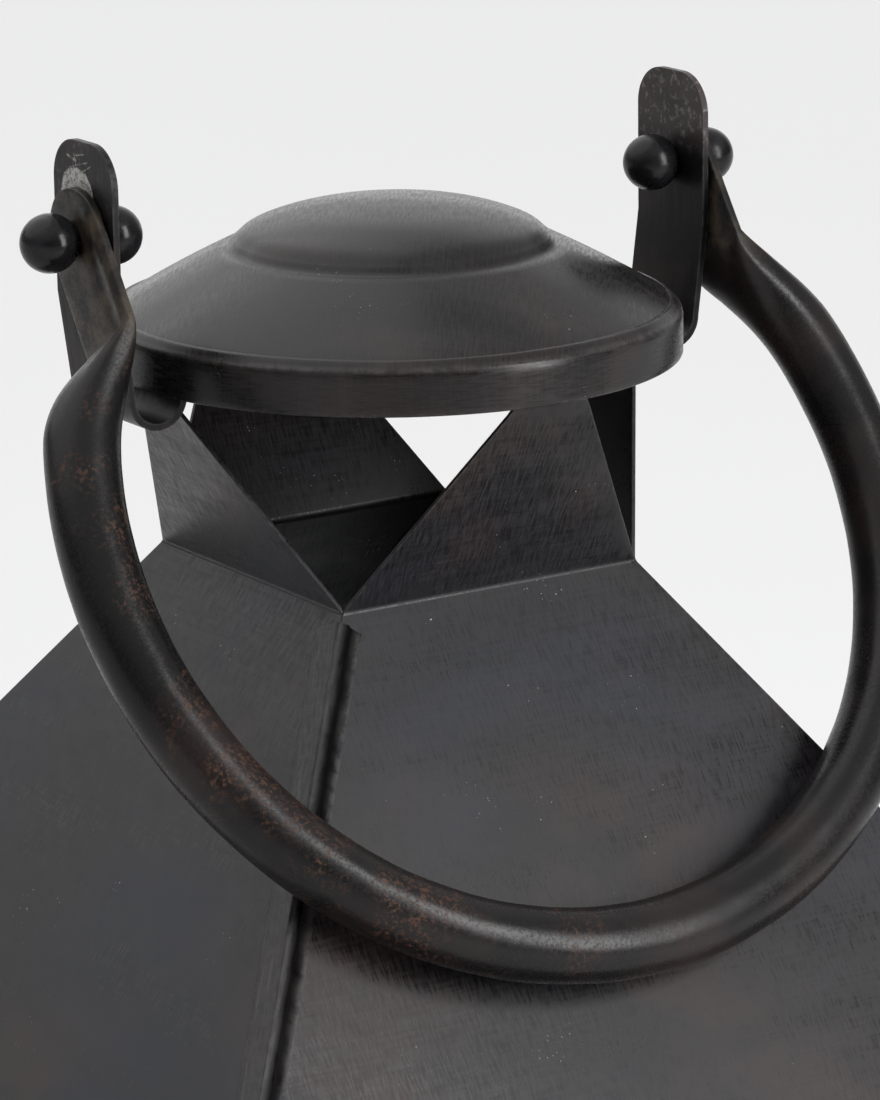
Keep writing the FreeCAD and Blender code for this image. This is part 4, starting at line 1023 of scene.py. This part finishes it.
class LANTERN_OT_handle(bpy.types.Operator):
    """Build the ring handle: a bent tube with its ends pressed flat and drilled"""

    bl_idname = "lantern.handle"
    bl_label = "Ring handle"

    @staticmethod
    def stations():
        """(centre, outward direction, openness, half width) down the right arm and round to the bottom."""
        handle = bpy.context.scene.lantern_handle
        end_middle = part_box("handle_strap_right")[1].x + 0.3 * MM + handle.end_thickness / 2
        centre = Vector((0, handle.ring_drop))
        half_width = handle.end_width / 2
        rows = []
        for n in range(15):
            turn = math.radians(90 * n / 14)
            up = half_width * math.cos(turn)
            wide = max(half_width * math.sin(turn), 0.6 * MM)
            rows.append((Vector((end_middle, -up)), Vector((1, 0)), 0.0, wide))
        for n in range(1, 12):
            rows.append((Vector((end_middle, handle.flat_length * n / 11)), Vector((1, 0)), 0.0, half_width))
        crease = rows[-1][0]
        for n in range(1, OPENING_STATIONS + 1):
            t = n / OPENING_STATIONS
            opened = 1 - (1 - t) ** 2.5
            down = crease.y + (handle.round_from - crease.y) * t
            ring = Vector((math.sqrt(handle.ring_radius ** 2 - (handle.ring_drop - down) ** 2), down))
            spot = Vector((crease.x, down)).lerp(ring, opened)
            outward = Vector((1, 0)).lerp((ring - centre).normalized(), opened).normalized()
            rows.append((spot, outward, opened, half_width + (handle.tube_radius - half_width) * opened))
        start_angle = math.acos((handle.ring_drop - handle.round_from) / handle.ring_radius)
        for n in range(1, RING_STATIONS + 1):
            turn = start_angle + (math.pi - start_angle) * n / RING_STATIONS
            out = Vector((math.sin(turn), -math.cos(turn)))
            rows.append((centre + out * handle.ring_radius, out, 1.0, handle.tube_radius))
        return rows

    def execute(self, context):
        handle = context.scene.lantern_handle
        right = self.stations()
        left = [(Vector((-c.x, c.y)), Vector((-o.x, o.y)), k, w) for c, o, k, w in reversed(right[:-1])]
        rows = right + left
        points, pressed = [], []
        for spot, outward, opened, wide in rows:
            thin = handle.end_thickness / 2
            thick = thin + (handle.tube_radius - thin) * opened
            power = 2 / (2 + 5 * (1 - opened) ** 1.5)
            for turn in full_turn(TUBE_SEGMENTS):
                c, s = math.cos(turn), math.sin(turn)
                deep = math.copysign(abs(c) ** power, c) * thick
                broad = math.copysign(abs(s) ** min(1.0, power * 1.5), s) * wide
                if c > 0:
                    across = -broad / wide
                    fold = math.exp(-((across - 0.80) / 0.13) ** 2)
                    fold -= 0.9 * math.exp(-((across - 0.50) / 0.11) ** 2)
                    fold *= smooth_step((spot.y + 0.6 * wide) / (9 * MM))
                    deep += fold * handle.edge_fold * (1 - opened)
                flat = spot + outward * deep
                point = Vector((flat.x, broad, -flat.y))
                swell = ripple(point, 13 * MM, 31) + 0.5 * ripple(point, 6 * MM, 32)
                normal = Vector((outward.x * c, s, -outward.y * c)).normalized()
                point += normal * swell * handle.unevenness * opened
                points.append(point)
                pressed.append(1 - smooth_step(opened * 1.6))
        faces = tube_faces(len(rows), TUBE_SEGMENTS)
        piece = new_piece("bent_tube_ring", points, faces, {"pressed": pressed})
        face_outward(piece)
        self.drill(piece, handle.pin_hole_radius)
        pin = middle_of("pivot_pin_left").z
        lean = self.rest_angle(pin)
        piece.data.transform(Matrix.Translation((0, 0, pin)) @ Matrix.Rotation(-lean, 4, "X"))
        paint(piece, blackened_tube())
        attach(piece, "handle")
        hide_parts("ring_handle")
        return {"FINISHED"}

    @staticmethod
    def rest_angle(pin):
        """Lean of the ring from hanging straight down, read from the frame's own ring."""
        low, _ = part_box("ring_handle")
        tube = bpy.context.scene.lantern_handle.tube_radius
        return math.atan2(-(low.y + tube), pin - (low.z + tube))

    @staticmethod
    def drill(piece, radius):
        """Cuts the pin holes, along X through both flat ends."""
        cutter = bpy.data.meshes.new("drill")
        work = bmesh.new()
        bmesh.ops.create_cone(work, cap_ends=True, segments=48, radius1=radius, radius2=radius, depth=0.4,
                              matrix=Matrix.Rotation(math.radians(90), 4, "Y"))
        work.to_mesh(cutter)
        work.free()
        bit = bpy.data.objects.new("drill", cutter)
        bpy.context.scene.collection.objects.link(bit)
        cut = piece.modifiers.new("pin_holes", "BOOLEAN")
        cut.object = bit
        cut.solver = "EXACT"
        depsgraph = bpy.context.evaluated_depsgraph_get()
        drilled = bpy.data.meshes.new_from_object(piece.evaluated_get(depsgraph))
        piece.modifiers.clear()
        piece.data = drilled
        bpy.data.objects.remove(bit)


class LANTERN_OT_straps(bpy.types.Operator):
    """Finish the two J-shaped straps and their rivets"""

    bl_idname = "lantern.straps"
    bl_label = "Straps"

    def execute(self, context):
        dress_nodes(["handle_strap_left"], strap_bar("scraped_strap_bar", 0.95, 0.25), 0.28 * MM)
        dress_nodes(["handle_strap_right"], strap_bar("dusty_strap_bar", 0.0, 1.0), 0.28 * MM)
        rivet = turned_steel("rivet_steel", context.scene.lantern_finish.strap_colour, 0.42)
        dress_nodes(["strap_rivet_left", "strap_rivet_right"], rivet, 0.2 * MM)
        return {"FINISHED"}


class LANTERN_OT_pivots(bpy.types.Operator):
    """Finish the pivot pins and their balls"""

    bl_idname = "lantern.pivots"
    bl_label = "Pivot balls"

    def execute(self, context):
        steel = turned_steel("ball_turned_steel", context.scene.lantern_finish.ball_colour, 0.22)
        dress_nodes(["pivot_pin_left", "pivot_pin_right", "pivot_ball_left", "pivot_ball_right"], steel, 0)
        return {"FINISHED"}


class LANTERN_OT_body(bpy.types.Operator):
    """Finish the tray, feet, rails, posts, eave plate and rivets"""

    bl_idname = "lantern.body"
    bl_label = "Body frame"

    def execute(self, context):
        finish = context.scene.lantern_finish
        upright = waxed_steel("frame_waxed_steel", finish.sheet_colour, grain=0.8, wear=0.6, mottle=0.9,
                              along=None)
        posts = ["corner_post_" + corner for corner in POSTS]
        dress_nodes([*posts, "sill_frame", "head_frame", "base_tray", "eave_plate"], upright, 0.3 * MM)
        rivet = turned_steel("body_rivet_steel", finish.strap_colour, 0.40)
        dress_nodes(["base_rivets", "head_rivets", "eave_rivets"], rivet, 0)
        dress_nodes(["ball_feet"], bpy.data.materials["ball_turned_steel"], 0.2 * MM)
        plain = turned_steel("plain_turned_steel", finish.plain_colour, 0.34, metallic=1.0)
        dress_nodes(["foot_nuts"], plain, 0.3 * MM)
        return {"FINISHED"}


class LANTERN_OT_glazing(bpy.types.Operator):
    """Finish the panes and the clips that hold them"""

    bl_idname = "lantern.glazing"
    bl_label = "Glazing"

    def execute(self, context):
        glass = window_glass()
        dress_nodes(["glass_back", "glass_left", "glass_right", "door_glass"], glass, 0.4 * MM)
        clips = waxed_steel("clip_waxed_steel", context.scene.lantern_finish.strap_colour, roughness=0.42,
                            grain=0.5, wear=0.6, mottle=0.8, along=None)
        held = ["glass_clips_back", "glass_clips_left", "glass_clips_right", "door_glass_clips"]
        dress_nodes(held, clips, 0.25 * MM)
        return {"FINISHED"}


class LANTERN_OT_door(bpy.types.Operator):
    """Finish the door, its hinges and its latch"""

    bl_idname = "lantern.door"
    bl_label = "Door"

    def execute(self, context):
        upright = bpy.data.materials["frame_waxed_steel"]
        dress_nodes(["door_frame", "door_knuckles", "post_knuckles"], upright, 0.3 * MM)
        balls = bpy.data.materials["ball_turned_steel"]
        dress_nodes(["hinge_pin_lower", "hinge_pin_upper", "latch_knob"], balls, 0.15 * MM)
        dress_nodes(["latch_tongue"], bpy.data.materials["rivet_steel"], 0.25 * MM)
        return {"FINISHED"}


class LANTERN_OT_candle(bpy.types.Operator):
    """Build the pillar candle and its wick, and finish their plate and spike"""

    bl_idname = "lantern.candle"
    bl_label = "Candle"

    def build_candle(self):
        candle = bpy.context.scene.lantern_candle
        low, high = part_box("pillar_candle")
        radius = high.x
        edge = candle.edge_round
        pool_radius = radius - candle.rim_width
        wick_low, wick_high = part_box("candle_wick")
        wick_hole = wick_high.x + candle.wick_gap
        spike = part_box("candle_spike")[1]
        spike_hole = spike.x + candle.spike_gap
        hole_top = spike.z + candle.spike_gap * 2.5
        pool_low = high.z - candle.pool_depth
        line = [Vector((0, wick_low.z)), Vector((wick_hole, wick_low.z)), Vector((wick_hole, pool_low))]
        for n in range(1, 17):
            r = wick_hole + (pool_radius - wick_hole) * n / 16
            line.append(Vector((r, pool_low + candle.pool_depth * (r / pool_radius) ** 2)))
        for n in range(1, 6):
            line.append(Vector((pool_radius + (radius - edge - pool_radius) * n / 5, high.z)))
        corner = Vector((radius - edge, high.z - edge))
        line += [corner + Vector((math.sin(t), math.cos(t))) * edge for t in CANDLE_CORNER]
        line += [Vector((radius, high.z - edge + (low.z + 2 * edge - high.z) * n / 40)) for n in range(1, 41)]
        foot = Vector((radius - edge, low.z + edge))
        line += [foot + Vector((math.cos(t), -math.sin(t))) * edge for t in CANDLE_CORNER]
        line += [Vector((spike_hole, low.z)), Vector((spike_hole, hole_top)), Vector((0, hole_top))]

        def soft_wax(point):
            around = Vector((point.x, point.y, 0))
            if around.length < spike_hole + 1 * MM:
                return Vector((0, 0, 0))
            swell = ripple(Vector((point.x, point.y, point.z * 0.4)), 26 * MM, 41)
            out = around.normalized() * swell * candle.waviness
            out *= smooth_step((around.length - pool_radius) / (radius - pool_radius))
            sag = 0.0
            if point.z > high.z - edge:
                sag = (ripple(around, 17 * MM, 42) - 0.9) * candle.waviness * 1.6
                sag *= smooth_step((around.length - 0.4 * pool_radius) / pool_radius)
            if around.length > pool_radius:
                out = out * 0.9 - around.normalized() * candle.waviness * 0.5
            else:
                out *= 0.9
            return out + Vector((0, 0, sag))

        return spun("wax_pillar", line, CANDLE_SEGMENTS, soft_wax)

    def build_wick(self):
        candle = bpy.context.scene.lantern_candle
        low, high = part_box("candle_wick")
        radius = high.x
        pool = top_of("pillar_candle") - candle.pool_depth
        points = []
        for r in range(WICK_RINGS + 1):
            z = low.z + 0.05 * MM + (high.z - low.z - 0.4 * MM) * r / WICK_RINGS
            free = max(0.0, (z - pool) / (high.z - pool))
            lean = candle.wick_lean * free ** 2
            thin = 1 - 0.30 * smooth_step((free - 0.75) / 0.25)
            for turn in full_turn(WICK_SEGMENTS):
                lobes = 1 - 0.10 * (1 + math.cos(3 * turn - z / (1.1 * MM)))
                reach = radius * lobes * thin
                points.append(Vector((lean + reach * math.cos(turn), reach * math.sin(turn), z - 0.4 * lean)))
        piece = new_piece("plaited_wick", points, tube_faces(WICK_RINGS + 1, WICK_SEGMENTS))
        face_outward(piece)
        return piece

    def execute(self, context):
        wax = self.build_candle()
        paint(wax, candle_wax())
        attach(wax, "candle")
        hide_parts("pillar_candle")
        wick = self.build_wick()
        paint(wick, braided_cotton())
        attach(wick, "candle")
        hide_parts("candle_wick")
        dress_nodes(["candle_plate"], bpy.data.materials["frame_waxed_steel"], 0.3 * MM)
        dress_nodes(["candle_spike"], bpy.data.materials["rivet_steel"], 0)
        return {"FINISHED"}


class LANTERN_OT_stage(bpy.types.Operator):
    """Lay the pale floor, hang the lights and set the camera"""

    bl_idname = "lantern.stage"
    bl_label = "Stage"

    def execute(self, context):
        self.lay_floor(context)
        self.light_room(context)
        self.hang_lights(context)
        self.set_camera(context)
        context.scene.view_settings.view_transform = "Standard"
        return {"FINISHED"}

    @staticmethod
    def lay_floor(context):
        radius = context.scene.lantern_stage.floor_radius
        work = bmesh.new()
        bmesh.ops.create_circle(work, cap_ends=True, segments=96, radius=radius)
        mesh = bpy.data.meshes.new("floor")
        work.to_mesh(mesh)
        work.free()
        floor = bpy.data.objects.new("floor", mesh)
        floor.location.z = FRAME_BOX[0].z
        context.scene.collection.objects.link(floor)
        paint(floor, pale_ground())

    @staticmethod
    def light_room(context):
        """Room that is brighter overhead and on the far side, and plain and pale where it is seen."""
        stage = context.scene.lantern_stage
        world = bpy.data.worlds.new("pale_room")
        world.use_nodes = True
        tree = world.node_tree
        toward = add_node(tree, "TexCoord").outputs["Generated"]
        rise = part_of(tree, toward, "Z")
        far = (-math.sin(stage.azimuth), math.cos(stage.azimuth), 0.0)
        ahead = dot_of(tree, toward, far)
        above = between(tree, rise, 0.10, 0.9, 0.0, stage.sky_above)
        behind = between(tree, ahead, 0.55, 1.0, 0.0, stage.sky_behind)
        glow = plus(tree, plus(tree, above, behind), stage.sky_dim)
        seen = add_node(tree, "LightPath").outputs["Is Camera Ray"]
        shown = add_node(tree, "Mix", {0: seen, 2: glow, 3: stage.sky_seen}).outputs[0]
        tree.links.new(shown, tree.nodes["Background"].inputs["Strength"])
        tree.nodes["Background"].inputs["Color"].default_value = (1.0, 1.0, 1.0, 1.0)
        context.scene.world = world

    @staticmethod
    def hang_lights(context):
        stage = context.scene.lantern_stage
        aim = Vector((0, 0, middle_of("vent_cap").z))
        toward = seen_from(stage.key_bearing, stage.key_height)
        key = bpy.data.lights.new("key", "AREA")
        key.shape = "RECTANGLE"
        key.size, key.size_y = KEY_WIDTH, KEY_TALL
        key.energy = stage.key_power
        sun = bpy.data.lights.new("overhead", "SUN")
        sun.angle = SUN_SPREAD
        sun.energy = stage.sun_strength
        for lamp, offset in ((key, toward * KEY_DISTANCE), (sun, SUN_FROM)):
            holder = bpy.data.objects.new(lamp.name, lamp)
            holder.location = aim + offset
            holder.rotation_euler = offset.to_track_quat("Z", "Y").to_euler()
            context.scene.collection.objects.link(holder)

    @staticmethod
    def set_camera(context):
        stage = context.scene.lantern_stage
        neck_level = roof_levels(context.scene.lantern_roof)[4]
        back = seen_from(stage.azimuth, stage.elevation)
        right = Vector((math.cos(stage.azimuth), math.sin(stage.azimuth), 0))
        up = back.cross(right)
        aim = Vector((0, 0, neck_level)) + right * stage.aim_right + up * stage.aim_up
        lens = bpy.data.cameras.new("camera")
        lens.lens = stage.lens
        lens.sensor_width = 36
        lens.clip_start = 0.01
        lens.clip_end = 60
        camera = bpy.data.objects.new("camera", lens)
        camera.location = aim + back * stage.distance
        camera.rotation_mode = "QUATERNION"
        camera.rotation_quaternion = (-back).to_track_quat("-Z", "Y") @ Quaternion((0, 0, 1), stage.roll)
        context.scene.collection.objects.link(camera)
        context.scene.camera = camera


SETTINGS = {"lantern_roof": RoofSettings, "lantern_seam": SeamSettings, "lantern_cap": CapSettings,
            "lantern_handle": HandleSettings, "lantern_candle": CandleSettings,
            "lantern_finish": FinishSettings, "lantern_stage": StageSettings}
OPERATORS = (LANTERN_OT_roof, LANTERN_OT_seams, LANTERN_OT_cap, LANTERN_OT_handle, LANTERN_OT_straps,
             LANTERN_OT_pivots, LANTERN_OT_body, LANTERN_OT_glazing, LANTERN_OT_door, LANTERN_OT_candle,
             LANTERN_OT_stage)


class LANTERN_PT_panel(bpy.types.Panel):
    """Lists the lantern's pieces and their settings"""

    bl_idname = "LANTERN_PT_panel"
    bl_label = "Candle lantern"
    bl_space_type = "VIEW_3D"
    bl_region_type = "UI"
    bl_category = "Lantern"

    def draw(self, context):
        for operator in OPERATORS:
            self.layout.operator(operator.bl_idname)
        for name, group in SETTINGS.items():
            box = self.layout.box()
            for setting in group.__annotations__:
                box.prop(getattr(context.scene, name), setting)


def register():
    for group in SETTINGS.values():
        bpy.utils.register_class(group)
    for operator in (*OPERATORS, LANTERN_PT_panel):
        bpy.utils.register_class(operator)
    for name, group in SETTINGS.items():
        setattr(bpy.types.Scene, name, PointerProperty(type=group))


def unregister():
    for name in SETTINGS:
        delattr(bpy.types.Scene, name)
    for made in (LANTERN_PT_panel, *reversed(OPERATORS), *reversed(SETTINGS.values())):
        bpy.utils.unregister_class(made)


def main():
    register()
    bpy.ops.lantern.roof()
    bpy.ops.lantern.seams()
    bpy.ops.lantern.cap()
    bpy.ops.lantern.handle()
    bpy.ops.lantern.straps()
    bpy.ops.lantern.pivots()
    bpy.ops.lantern.body()
    bpy.ops.lantern.glazing()
    bpy.ops.lantern.door()
    bpy.ops.lantern.candle()
    bpy.ops.lantern.stage()


if __name__ == "__main__":
    main()
